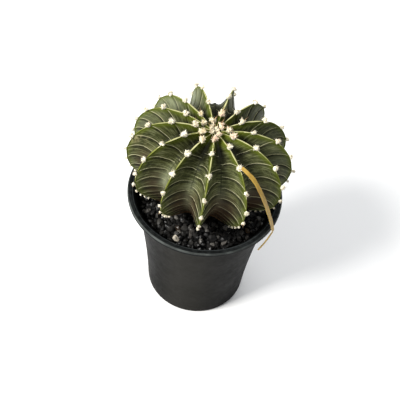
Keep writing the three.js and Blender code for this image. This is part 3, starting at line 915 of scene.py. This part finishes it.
# How brown each rib is low down; the higher values on the right-hand ribs are painted shade, away from the
# light.
RIB_BROWN_AND_SHADE = np.array([0.8, 0.7, 0.25, 0.7, 0.7, 0.7, 0.7, 0.7, 0.7, 0.8, 0.9, 1.0, 1.0])


def body_columns():
    """Across and side for the columns of a rib, from one valley over the crest to the other."""
    flank_side = np.ones(len(FLANK), int)
    across = np.concatenate([FLANK[::-1], [0], FLANK])
    return across, np.concatenate([-flank_side, [1], flank_side])


def run_length(points):
    """Distance along a line of points, 0 at the first."""
    return np.concatenate([[0], np.cumsum(np.linalg.norm(np.diff(points, axis=0), axis=1))])


def body_rows():
    """Counts at even steps of a density that is high on the flanks and low under the gravel."""
    fine = np.linspace(FIRST_COUNT, LAST_COUNT, 3000)
    weight = 1 - 0.93 * smooth(fine, 11, 12.5)
    steps = np.diff(run_length(along(CREST, fine))) * weight[1:]
    spent = np.concatenate([[0], np.cumsum(steps)])
    return np.interp(np.linspace(0, spent[-1], BODY_ROWS), spent, fine)


def areole_step(count):
    """Millimetres of crest from one areole to the next, at a count."""
    ahead, behind = along(CREST, count + 0.5), along(CREST, count - 0.5)
    return np.maximum(np.linalg.norm(ahead - behind, axis=-1), 2.5)


def band_wobble(count, rib, side, across):
    """Bands waver a little, differently on each flank, and not at the crest itself."""
    seed = rib * 2.3 + side * 1.1
    slow = 0.05 * np.sin(across * 4 + count * 1.9 + seed)
    quick = 0.008 * np.sin(across * 17 + count * 5.3 + 2 * seed)
    return (slow + quick) * smooth(across, 0.05, 0.35) * (1 - smooth(across, 0.75, 1))


def areole_count(step, rib):
    """The count at which a rib has its areole of that number: shifted, and spaced by its own step."""
    return 2 + (step - 2) * RIB_STRETCH[rib] + RIB_PHASE[rib]


def growth_turns(count, rib, side, across):
    """Whole at each band: the areole's number, the flank's own climb and a wobble."""
    number = 2 + (count - RIB_PHASE[rib] - 2) / RIB_STRETCH[rib]
    more = np.where(side > 0, LEFT_CLIMB[rib], RIGHT_CLIMB[rib]) * band_lift(count, across)
    return number + more + band_wobble(count, rib, side, across)


def relief(turns, count, across):
    """Each band rises slowly from above and drops off sharply just below its edge."""
    step = areole_step(count)
    below = (turns - np.floor(turns)) * step
    above = step - below
    height = BAND_HEIGHT * np.minimum(1, step / 8)
    ledge = np.exp(-below / BAND_DROP) + np.exp(-above / (0.3 * step))
    rim = 0.25 * np.exp(-((np.minimum(below, above) / 0.4) ** 2))
    strength = smooth(count, 0.1, 1.4) * (1 - smooth(count, 10.5, 12))
    fade = smooth(across, 0.0, 0.05) * (1 - smooth(across, 0.95, 1.0))
    return height * (ledge + rim) * strength * fade * (1 - 0.35 * across)


def crest_bulge(turns, count, across):
    """Between two areoles the crest swells a little, and sinks at each."""
    near = 1 - smooth(across, 0.0, 0.07)
    shown = smooth(count, -0.2, 0.6) * (1 - smooth(count, LAST_AREOLE, LAST_AREOLE + 1))
    return CREST_BULGE * np.abs(np.sin(np.pi * turns)) * near * shown


print("millimetres between areoles:", np.round(areole_step(np.arange(LAST_AREOLE + 1)), 1).tolist())

# %% [markdown]
# The form is worked out first, without its bands. Band relief, crest bulge and one small
# scar are then added along its normals, and the numbers that the finish needs are stored.

# %% Body mesh
SCAR_RIB, SCAR_SIDE, SCAR_COUNT, SCAR_ACROSS = 3, -1, 3.45, 0.14
END_MAP = [0, -0.6, 8]


def surface_normals(grid):
    """Unit normals of a grid that is closed round, from its neighbours' differences."""
    down = np.gradient(grid, axis=0)
    beside = np.roll(grid, -1, axis=1) - np.roll(grid, 1, axis=1)
    normal = np.cross(down, beside)
    return normal / np.maximum(np.linalg.norm(normal, axis=-1, keepdims=True), 1e-9)


def crest_distance(grid):
    """Millimetres from the crest column to each column, measured along the row."""
    steps = np.linalg.norm(np.diff(grid, axis=2), axis=-1)
    total = np.concatenate([np.zeros(steps.shape[:2] + (1,)), np.cumsum(steps, axis=2)], axis=2)
    crest = len(FLANK)
    return np.abs(total - total[:, :, crest:crest + 1])


def patches(values):
    """The four corners of every patch of a grid, in the order that faces outwards."""
    a, b = values[:-1, :, :-1], values[:-1, :, 1:]
    c, d = values[1:, :, 1:], values[1:, :, :-1]
    return np.stack([a, b, c, d], -1).reshape(-1, 4)


def make_cactus_body():
    """The whole skin: smooth form first, then band relief and bulge along the normals."""
    columns, rows = body_columns(), body_rows()
    numbers = np.arange(RIBS), np.arange(len(columns[0]))
    count, rib, column = np.meshgrid(rows, *numbers, indexing="ij")
    across, side = columns[0][column], columns[1][column]
    form = skin_point(count, rib, side, across)
    turns = growth_turns(count, rib, side, across)
    scar = np.exp(-(((count - SCAR_COUNT) / 0.3) ** 2) - ((across - SCAR_ACROSS) / 0.12) ** 2)
    scar = scar * (rib == SCAR_RIB) * (side == SCAR_SIDE)
    raised = relief(turns, count, across) + crest_bulge(turns, count, across) + 0.3 * scar
    kept = 2 * len(FLANK)
    welded = form[:, :, :kept].reshape(len(rows), -1, 3)
    lifted = raised[:, :, :kept].reshape(len(rows), -1)
    skin = welded + surface_normals(welded) * lifted[..., None]
    ends = lean(np.array([[0, 0, CREST[0, 1]], [0, 0, CREST[-1, 1]]]))
    points, faces, fans = tube(skin, ends)
    mesh = make_mesh("cactus_body", points, faces, fans)
    marks = np.stack([side * across, turns, areole_step(count)], -1).reshape(-1, 3)
    source = patches(np.arange(count.size).reshape(count.shape))
    rib_map = np.concatenate([marks[source].reshape(-1, 3), np.tile(END_MAP, (fans.size, 1))])
    add_attribute(mesh, "rib_map", rib_map, "FLOAT_VECTOR", "CORNER")
    rib_wax_and_light = RIB_WAX_AND_LIGHT[rib] * smooth(count, 0.9, 2.6)
    valley_wax_and_light = VALLEY_WAX_AND_LIGHT[np.where(side > 0, rib, rib - 1) % RIBS] * smooth(across, 0.25, 0.95)
    stored = {
        "age": count,
        "off_crest": crest_distance(form),
        "scar": scar,
        "wax_and_light": np.maximum(rib_wax_and_light, valley_wax_and_light * smooth(count, 2.8, 4.5)),
        # The stored brown also carries painted shade on the right-hand ribs.
        "brown": RIB_BROWN_AND_SHADE[rib] * smooth(across, 0.1, 0.5),
        "run": run_length(along(CREST, rows))[:, None, None] + 0 * count,
    }
    for name, values in stored.items():
        flat = values[:, :, :kept].reshape(-1)
        add_attribute(mesh, name, np.concatenate([flat, [values[0].mean(), values[-1].mean()]]))
    return mesh


body_mesh = make_cactus_body()
print("numbers stored on the skin:", [a.name for a in body_mesh.attributes if a.data_type == "FLOAT"])

# %% [markdown]
# The skin is waxy and nearly matt. Yellow-green shows along the crest, dark grey-green
# on the flank, and brown-purple where the aged skin nears the soil, deepened by painted
# shade on the right-hand ribs. Each band has a thin pale edge, and faint lines run beside it.
# Light and shade are painted in too: painted light on the boards and on the waxy faces,
# painted shade under the bands, in the upper creases and near the crown. All of this
# follows the rib, so the finish reads the numbers stored on the mesh instead of a picture.


# %% Skin finish
def band_masks(tree):
    """Across, distance below a band's edge, and masks: the edge, the painted shade under it, painted light
    on the boards just above each edge.
    """
    signed, turns, step = xyz(*read(tree, "rib_map", output="Vector"))
    across = maths("ABSOLUTE", signed)
    part = maths("FRACT", turns)
    below = product(part, step)
    above = maths("SUBTRACT", step, below)
    edge = maths("MAXIMUM", ramp(below, 0.0, 0.15, 1, 0), ramp(above, 0.12, 0.46, 1, 0))
    edge = product(edge, ramp(across, 0.88, 1.0, 1, 0.3))
    upper = ramp(part, 0.2, 0.7, 1, 0), ramp(across, 0.65, 0.95, 1, 0.2)
    under = product(ramp(below, 0.05, 0.2), ramp(below, 0.8, 3.2, 1, 0), *upper)
    return across, below, edge, under, ramp(above, 0.3, 3.0, 1, 0)


def flank_colour(place, cloud, streaks, across, under, painted_board_light):
    """Grey-green, then streaks, waxy coat and painted light, age, painted shade under the bands and near
    the crown, the green crest.
    """
    off, age, run, wax_and_light = read(place.id_data, "off_crest", "age", "run", "wax_and_light")
    rays = noise(stretched(off, 1.2, run, 0.14), 1.0, 3.0)
    flank = mix(ramp(cloud, 0.35, 0.65), (44, 48, 22), (67, 70, 38))
    flank = coat(flank, (116, 119, 84), ramp(streaks, 0.5, 0.64, 0, 0.8))
    flank = coat(flank, (15, 17, 8), ramp(streaks, 0.36, 0.49, 0.9, 0))
    flank = coat(flank, (106, 108, 74), ramp(rays, 0.5, 0.7, 0, 0.35))
    bloom_and_light = ramp(noise(place, 60.0, 4.0), 0.35, 0.65, 0.35, 1)
    # Grey waxy coat, partly painted light: the paler colour also stands for lit faces.
    flank = coat(flank, (142, 149, 120), wax_and_light, bloom_and_light, 0.8)
    # Painted light: the flank just above each band's edge is paler, as it faces the light.
    flank = coat(flank, (98, 104, 66), painted_board_light, 0.1)
    aged = ramp(age, 3.0, 5.8, 0, 0.75), ramp(across, 0.1, 0.5), ramp(wax_and_light, 0.2, 0.8, 1, 0.4)
    flank = coat(flank, (65, 50, 37), *aged)
    flank = coat(flank, (13, 13, 6), under, ramp(wax_and_light, 0.2, 0.8, 0.72, 0.4))
    # Painted shade: the valley sides near the crown are darkened, where the ribs shade them.
    flank = coat(flank, (9, 8, 3), ramp(age, 0.6, 3.6, 1, 0), ramp(across, 0.1, 0.7), 0.9)
    green = ramp(off, 0.5, 6.5, 1, 0), ramp(age, 2.5, 9.0, 0.85, 0.1)
    return coat(flank, (76, 86, 14), *green)


def cactus_skin():
    """Flank, low brown skin and painted shade, band, crest, painted crease shade, cork and scar laid over
    each other in that order.
    """
    material, shader, place = new_material("waxy_cactus_skin")
    across, below, edge, under, painted_board_light = band_masks(shader.id_data)
    off, age, run, wax_and_light = read(shader.id_data, "off_crest", "age", "run", "wax_and_light")
    brown, scar = read(shader.id_data, "brown", "scar")
    cloud = use_group(BLOTCHES, place, Scale=90.0, Fine_share=0.45)
    streaks = noise(stretched(off, 0.1, run, 1.1), 1.0, 3.0, 0.7)
    colour = flank_colour(place, cloud, streaks, across, under, painted_board_light)
    # Brown-purple low skin near the soil, deepened as painted shade on the right-hand ribs.
    old_and_shaded = product(ramp(xyz(place)["Z"], 0.093, 0.12, 1, 0), brown)
    colour = coat(colour, (42, 28, 18), old_and_shaded)
    shown = product(ramp(age, 0.6, 1.8), ramp(off, 0.8, 2.5))
    worn = ramp(wax_and_light, 0.2, 0.8, 1, 0.5), ramp(age, 3.5, 7.0, 1, 0.65), ramp(old_and_shaded, 0.1, 0.9, 1, 0.4)
    colour = coat(colour, (170, 167, 132), edge, shown, ramp(cloud, 0.2, 0.5, 0.5, 1.0), *worn)
    ridge = ramp(off, 0.2, 1.6, 1, 0), ramp(age, 2.0, 5.0, 0.75, 0.4), ramp(age, 9.0, 10.0, 1, 0)
    colour = coat(colour, (108, 114, 40), *ridge)
    thin = product(ramp(off, 0.15, 0.5, 1, 0), ramp(age, 1.0, 2.6, 0.7, 0.05))
    wide = product(ramp(off, 0.35, 0.9, 1, 0), ramp(below, 2.4, 4.0, 0.9, 0))
    colour = coat(colour, (206, 202, 152), maths("MAXIMUM", thin, wide))
    # Painted shade along the valley line of the upper ribs.
    colour = coat(colour, (13, 14, 8), ramp(across, 0.955, 1.0), ramp(age, 3.0, 5.0, 0.75, 0))
    cork = mix(ramp(cloud, 0.35, 0.65), (70, 48, 32), (128, 100, 72))
    colour = coat(colour, cork, ramp(maths("ADD", age, cloud), 9.9, 11.2))
    colour = coat(colour, (150, 140, 104), scar, ramp(cloud, 0.4, 0.55))
    gloss = ramp(cloud, 0.3, 0.7, 0.42, 0.6)
    feed_named(shader, Base_Color=colour, Roughness=gloss, Specular_IOR_Level=0.06)
    add_bump(shader, maths("ADD", product(streaks, 0.7), noise(place, 1400.0, 3.0)), 0.12, 0.8)
    return material


add_piece(body_mesh, cactus_skin(), "cactus")

# %% [markdown]
# ## Wool
#
# An areole is a small cushion of felt. From a step away it is a white blob, and close by one
# sees fine hairs at its edge. Hair particles would not survive an export, so each tuft is
# a lumpy core with seven short tapered locks and ninety curved fibres, each fibre a
# three-sided spike. One formula places all fibres of all tufts at once.

# %% Where the tufts sit
TUFT_AT_CROWN, TUFT_AT_SHOULDER, TUFT_AT_BASE = 1.9, 1.55, 0.65
TUFT_RAISE = 0.15
FIRST_TUFT = -0.85


def tuft_size(count):
    """Half the width of a tuft, largest on the shoulder."""
    upper = TUFT_AT_CROWN + (TUFT_AT_SHOULDER - TUFT_AT_CROWN) * smooth(count, -0.2, 1.4)
    upper = upper - 0.6 * (1 - smooth(count, -0.6, -0.1))
    return upper - (TUFT_AT_SHOULDER - TUFT_AT_BASE) * smooth(count, 2.0, 6.5)


def crest_frame(count, rib):
    """Point on the crest, its outward direction and the direction down the crest."""
    zero = np.zeros(count.shape)
    middle = skin_point(count, rib, 1, zero)
    down = unit(skin_point(count + 0.05, rib, 1, zero) - skin_point(count - 0.05, rib, 1, zero))
    angle = rib_angle(rib)
    sideways = np.stack([-np.sin(angle), np.cos(angle), zero], -1)
    outward = unit(np.cross(sideways, down))
    outward *= np.sign((outward * (middle - CENTRE)).sum(-1, keepdims=True))
    return middle, outward, down


tuft_step, tuft_rib = (a.ravel() for a in np.meshgrid(np.arange(-1, LAST_AREOLE + 1), np.arange(RIBS)))
tuft_count = areole_count(tuft_step, tuft_rib)
grown = tuft_count > FIRST_TUFT
tuft_step, tuft_rib, tuft_count = tuft_step[grown], tuft_rib[grown], tuft_count[grown]
TUFTS = len(tuft_count)
tuft_radius = tuft_size(tuft_count) * rng.uniform(0.85, 1.15, TUFTS)
tuft_place, tuft_out, tuft_down = crest_frame(tuft_count, tuft_rib)
tuft_side = np.cross(tuft_out, tuft_down)
tuft_middle = tuft_place + tuft_out * (TUFT_RAISE * tuft_radius)[:, None]
print("tufts:", TUFTS, "highest at", round(tuft_place[:, 2].max(), 1), "mm")

# %% Wool cores, locks and fibres
FIBRES = 90
CLUMPS = 7
LOCK_SIDES = 6
FIBRE_SIDES = 3
LOCK_SHAPE = ((0.0, 0.45), (0.4, 0.32), (0.75, 0.16))
clump = unit(rng.normal(size=(TUFTS, CLUMPS, 3)))


def ring_across(way, beside, sides):
    """Points on a circle round each way, cos * one + sin * two, with one square to beside."""
    one = unit(np.cross(way, beside))
    two = np.cross(way, one)
    angle = circle(sides)
    return one[:, None] * np.cos(angle)[:, None] + two[:, None] * np.sin(angle)[:, None]


def cone_points(start, way, length, bend, ring, radius, shape):
    """Rings round start + way * length * share + bend * share^2, and the tip at share 1."""
    parts = []
    for share, thick in shape:
        middle = start + way * length * share + bend * share ** 2
        parts.append(middle[:, None] + ring * (radius * thick)[:, None])
    return np.concatenate(parts + [(start + way * length + bend)[:, None]], 1)


def cone_faces(rings, sides):
    """The wall of a cone of rings and a tip, and the triangles of its tip and its base."""
    tip = rings * sides
    base = [[0, i + 1, i] for i in range(1, sides - 1)]
    return grid_faces(rings, sides), np.concatenate([cap_faces(np.arange(tip - sides, tip), tip), base])


def turned_out(way, owner):
    """Directions that point into the skin are mirrored to point out of it."""
    facing = (way * tuft_out[owner]).sum(1, keepdims=True)
    return np.where(facing < -0.2, way - 2 * facing * tuft_out[owner], way)


def wool_cores():
    """A ball drawn out towards each clump: radius = 0.55 + 0.4 * (cosine to the nearest)^5."""
    near = np.clip(np.einsum("nck,dk->ncd", clump, BALL), 0, None).max(1)
    bumpy = 0.55 + 0.4 * near ** 5 + 0.06 * rng.normal(size=near.shape)
    stretch = rng.uniform(0.85, 1.2, (TUFTS, 1, 3))
    return BALL[None] * (tuft_radius[:, None] * bumpy)[..., None] * stretch


def wool_locks():
    """Short bent cones, one for each clump, that give a tuft its points."""
    owner = np.repeat(np.arange(TUFTS), CLUMPS)
    way = turned_out(clump.reshape(-1, 3), owner)
    size = tuft_radius[owner][:, None]
    longer = (1.3 - 0.3 * smooth(tuft_count[owner], 0, 2))[:, None]
    length = size * rng.uniform(0.6, 1.0, (len(owner), 1)) * longer
    bend = rng.normal(size=way.shape) * length * 0.2
    ring = ring_across(way, rng.normal(size=way.shape), LOCK_SIDES)
    start = tuft_middle[owner] + way * size * 0.3
    return cone_points(start, way, length, bend, ring, size, LOCK_SHAPE), owner


def wool_fibres():
    """Each fibre starts in the core, leaves it in a random direction and curls."""
    owner = np.repeat(np.arange(TUFTS), FIBRES)
    count = len(owner)
    size = tuft_radius[owner][:, None]
    loose = clump[owner, rng.integers(0, CLUMPS, count)] + 0.33 * rng.normal(size=(count, 3))
    loose = turned_out(unit(loose), owner)
    start = tuft_middle[owner] + loose * size * 0.6
    length = size * rng.uniform(0.4, 0.8, (count, 1))
    curl = rng.normal(size=(count, 3)) * 0.4
    middle = start + loose * length * 0.55
    tip = middle + (loose + curl) * length * 0.5
    ring = ring_across(loose, rng.normal(size=(count, 3)), FIBRE_SIDES)
    ring = ring * rng.uniform(0.1, 0.17, (count, 1, 1))
    return np.concatenate([start[:, None] + ring, middle[:, None] + ring * 0.75, tip[:, None]], 1), owner


def make_wool():
    """Cores, locks and fibres in one mesh, with a tint number for each tuft."""
    cores = wool_cores()
    locks, lock_owner = wool_locks()
    fibres, fibre_owner = wool_fibres()
    points = [p.reshape(-1, 3) for p in (cores + tuft_middle[:, None], locks, fibres)]
    first_fibre = len(points[0]) + len(points[1])
    face_sets = [repeated(BALL_FACES, len(BALL), TUFTS)]
    for faces in cone_faces(len(LOCK_SHAPE), LOCK_SIDES):
        face_sets.append(repeated(faces, locks.shape[1], len(locks), len(points[0])))
    for faces in cone_faces(2, FIBRE_SIDES):
        face_sets.append(repeated(faces, fibres.shape[1], len(fibres), first_fibre))
    mesh = make_mesh("areole_wool", np.concatenate(points), *face_sets)
    tint = np.where(tuft_step < 1, rng.uniform(0.3, 1.0, TUFTS), rng.uniform(0, 0.25, TUFTS))
    heart = np.clip((cores * tuft_out[:, None]).sum(-1) / tuft_radius[:, None], 0, 1) ** 2
    add_attribute(mesh, "tint", np.concatenate([
        (tint[:, None] * (0.4 + heart)).ravel(),
        np.repeat(0.7 * tint[lock_owner], locks.shape[1]),
        np.repeat(0.5 * tint[fibre_owner], fibres.shape[1]),
    ]))
    return mesh


wool_mesh = make_wool()
print("fibres:", TUFTS * FIBRES, "and locks:", TUFTS * CLUMPS)

# %% [markdown]
# Wool scatters light many times, so it looks whiter than any one fibre. A very pale colour
# and full roughness are enough. The youngest tufts at the crown are tinted cream to
# orange by the spines inside them.


# %% Wool finish
def felted_wool():
    """White to cream, tinted at the crown, and fully matt."""
    material, shader, place = new_material("felted_wool")
    cloud = use_group(BLOTCHES, place, Scale=500.0, Fine_share=0.5)
    white = mix(ramp(cloud, 0.3, 0.7), (210, 202, 176), (248, 244, 228))
    hue = ramp(noise(place, 90.0, 1.0), 0.48, 0.6)
    tinted = mix(hue, (214, 186, 128), (222, 164, 132))
    crown = read(shader.id_data, "tint")
    tint = maths("MULTIPLY", *crown, ramp(cloud, 0.3, 0.6), clamp=True)
    feed_named(shader, Base_Color=mix(tint, white, tinted), Roughness=1.0)
    return material


add_piece(wool_mesh, felted_wool(), "cactus")

# %% [markdown]
# ## Spines
#
# This plant has few spines. The areoles at the crown hold three thin tan ones each, the
# next three down a rib hold two, and two more hold one. At the crown they are 2.5 to 6 mm
# long from the skin, and older ones are shorter and broken. Each spine is a slim cone with
# a slight bend, again placed by one formula for all.

# %% Spines
SPINE_SIDES = 5
YOUNG_LENGTH, OLD_LENGTH = (1.8, 4.6), (1.2, 2.6)
SPINE_SHAPE = ((0.0, 1.0), (0.45, 0.8), (0.8, 0.5))


def make_spines():
    """Slim cones that lean a little to any side, and those at the crown also down the rib."""
    wanted = np.select([tuft_step < 1, tuft_step <= 3, tuft_step <= 5], [3, 2, 1], 0)
    owner = np.repeat(np.arange(TUFTS), wanted)
    count = len(owner)
    spread = rng.normal(size=(count, 2)) * 0.55
    young = tuft_step[owner] < 1
    side, down = tuft_side[owner], tuft_down[owner]
    way = tuft_out[owner] + spread[:, :1] * side + spread[:, 1:] * down
    way = unit(np.where(young[:, None], way + 0.7 * down, way))
    length = np.where(young, rng.uniform(*YOUNG_LENGTH, count), rng.uniform(*OLD_LENGTH, count))
    length = (length + 0.6 * tuft_radius[owner])[:, None]
    bend = -down * length * 0.15 * rng.uniform(-1, 1, (count, 1))
    ring = ring_across(way, side + 0.01, SPINE_SIDES)
    width = rng.uniform(0.1, 0.17, (count, 1))
    points = cone_points(tuft_place[owner], way, length, bend, ring, width, SPINE_SHAPE)
    wall, ends = cone_faces(len(SPINE_SHAPE), SPINE_SIDES)
    faces = [repeated(each, points.shape[1], count) for each in (wall, ends)]
    mesh = make_mesh("short_spines", points.reshape(-1, 3), *faces)
    share = np.repeat([share for share, _ in SPINE_SHAPE], SPINE_SIDES)
    add_attribute(mesh, "tip", np.tile([*share, 1.0], count))
    return mesh


def spine_finish():
    """Tan at the root to brown at the tip, with a change of tone in blotches."""
    material, shader, place = new_material("dry_spine")
    tip, = read(shader.id_data, "tip")
    tan = mix(use_group(BLOTCHES, place, Scale=400.0), (176, 138, 92), (212, 180, 136))
    colour = coat(tan, (104, 72, 48), ramp(tip, 0.4, 1.0))
    feed_named(shader, Base_Color=colour, Roughness=0.55)
    return material


add_piece(make_spines(), spine_finish(), "cactus")

# %% [markdown]
# ## The straw strip
#
# A dry golden strip leaves an areole, falls in a flat arc over the lip's edge, folds there and
# turns along the pot. It could be a curve with a bevel, but a flat strip needs its width
# to stay across the path, so a small cross-section is carried along the route on a frame
# that is worked out at every step.

# %% Strip
STRIP_ROUTE = np.array([
    [17.0, -22.4, 136.2], [20.6, -24.4, 134.4], [23.9, -26, 131.8], [26.6, -27.4, 128.2],
    [29, -28.3, 124], [31.2, -28.6, 119], [33.4, -28.2, 113], [35.5, -27.2, 106],
    [37.4, -25.8, 99], [38.9, -24.6, 93], [39.9, -23.6, 88.4],
    [40.1, -23.4, 86.2], [38.7, -25.6, 84.4], [36.3, -28.6, 81.4], [33.3, -31.2, 77.6],
])
STRIP_WIDTH = 2.4
STRIP_THICKNESS = 0.45
STRIP_STEPS = 150
STRIP_SIDES = 16


def flattened(wave, power):
    """A sine or cosine pushed towards 1 and -1, so that a circle becomes a flat ring."""
    return np.sign(wave) * np.abs(wave) ** power


def make_strip():
    """A flattened ring of points carried along the route, with a lengthwise channel."""
    last = len(STRIP_ROUTE) - 1
    place = np.linspace(0, last, STRIP_STEPS)
    path = along(STRIP_ROUTE, place - 1)
    forward = unit(np.gradient(path, axis=0))
    outward = unit(path * [1, 1, 0])
    outward[:, 2] = np.clip((path[:, 2] - CENTRE[2]) / 26, 0, None)
    across = unit(np.cross(forward, outward))
    normal = np.cross(across, forward)
    wide = 0.5 * STRIP_WIDTH * (0.75 + 0.25 * smooth(place, 0, 1.5))
    wide = wide * (1 + 0.05 * np.sin(place * 4.1) + 0.04 * np.sin(place * 9.7))
    wide = wide * (1 - 0.25 * smooth(place, last - 0.7, last))
    angle = circle(STRIP_SIDES)
    flat_x = flattened(np.cos(angle), 0.6)
    flat_y = flattened(np.sin(angle), 0.8) * 0.5 * STRIP_THICKNESS
    channel = -0.1 * np.cos(flat_x * np.pi * 1.5)
    sideways = across[:, None] * (wide[:, None] * flat_x)[..., None]
    rings = path[:, None] + sideways + normal[:, None] * (flat_y + channel)[None, :, None]
    points, *face_sets = tube(rings, rings[[0, -1]].mean(1))
    mesh = make_mesh("straw_strip", points, *(faces[:, ::-1] for faces in face_sets))
    add_attribute(mesh, "wide", np.concatenate([np.tile(flat_x, STRIP_STEPS), [0, 0]]))
    add_attribute(mesh, "length", np.concatenate([np.repeat(place, STRIP_SIDES), [0, last]]))
    return mesh


def dry_straw():
    """Golden straw: long fine fibres across the width, browner patches along the length."""
    material, shader, place = new_material("dry_straw")
    wide, length = read(shader.id_data, "wide", "length")
    grain = noise(stretched(wide, 4.0, length, 0.5), 2.0, 4.0)
    gold = mix(ramp(grain, 0.35, 0.65), (134, 102, 30), (196, 162, 70))
    worn = use_group(BLOTCHES, place, Scale=120.0)
    colour = coat(gold, (134, 100, 44), ramp(worn, 0.5, 0.75, 0, 0.5))
    feed_named(shader, Base_Color=colour, Roughness=ramp(grain, 0.3, 0.7, 0.4, 0.6))
    add_bump(shader, grain, 0.12)
    return material


add_piece(make_strip(), dry_straw(), "tie_strip")
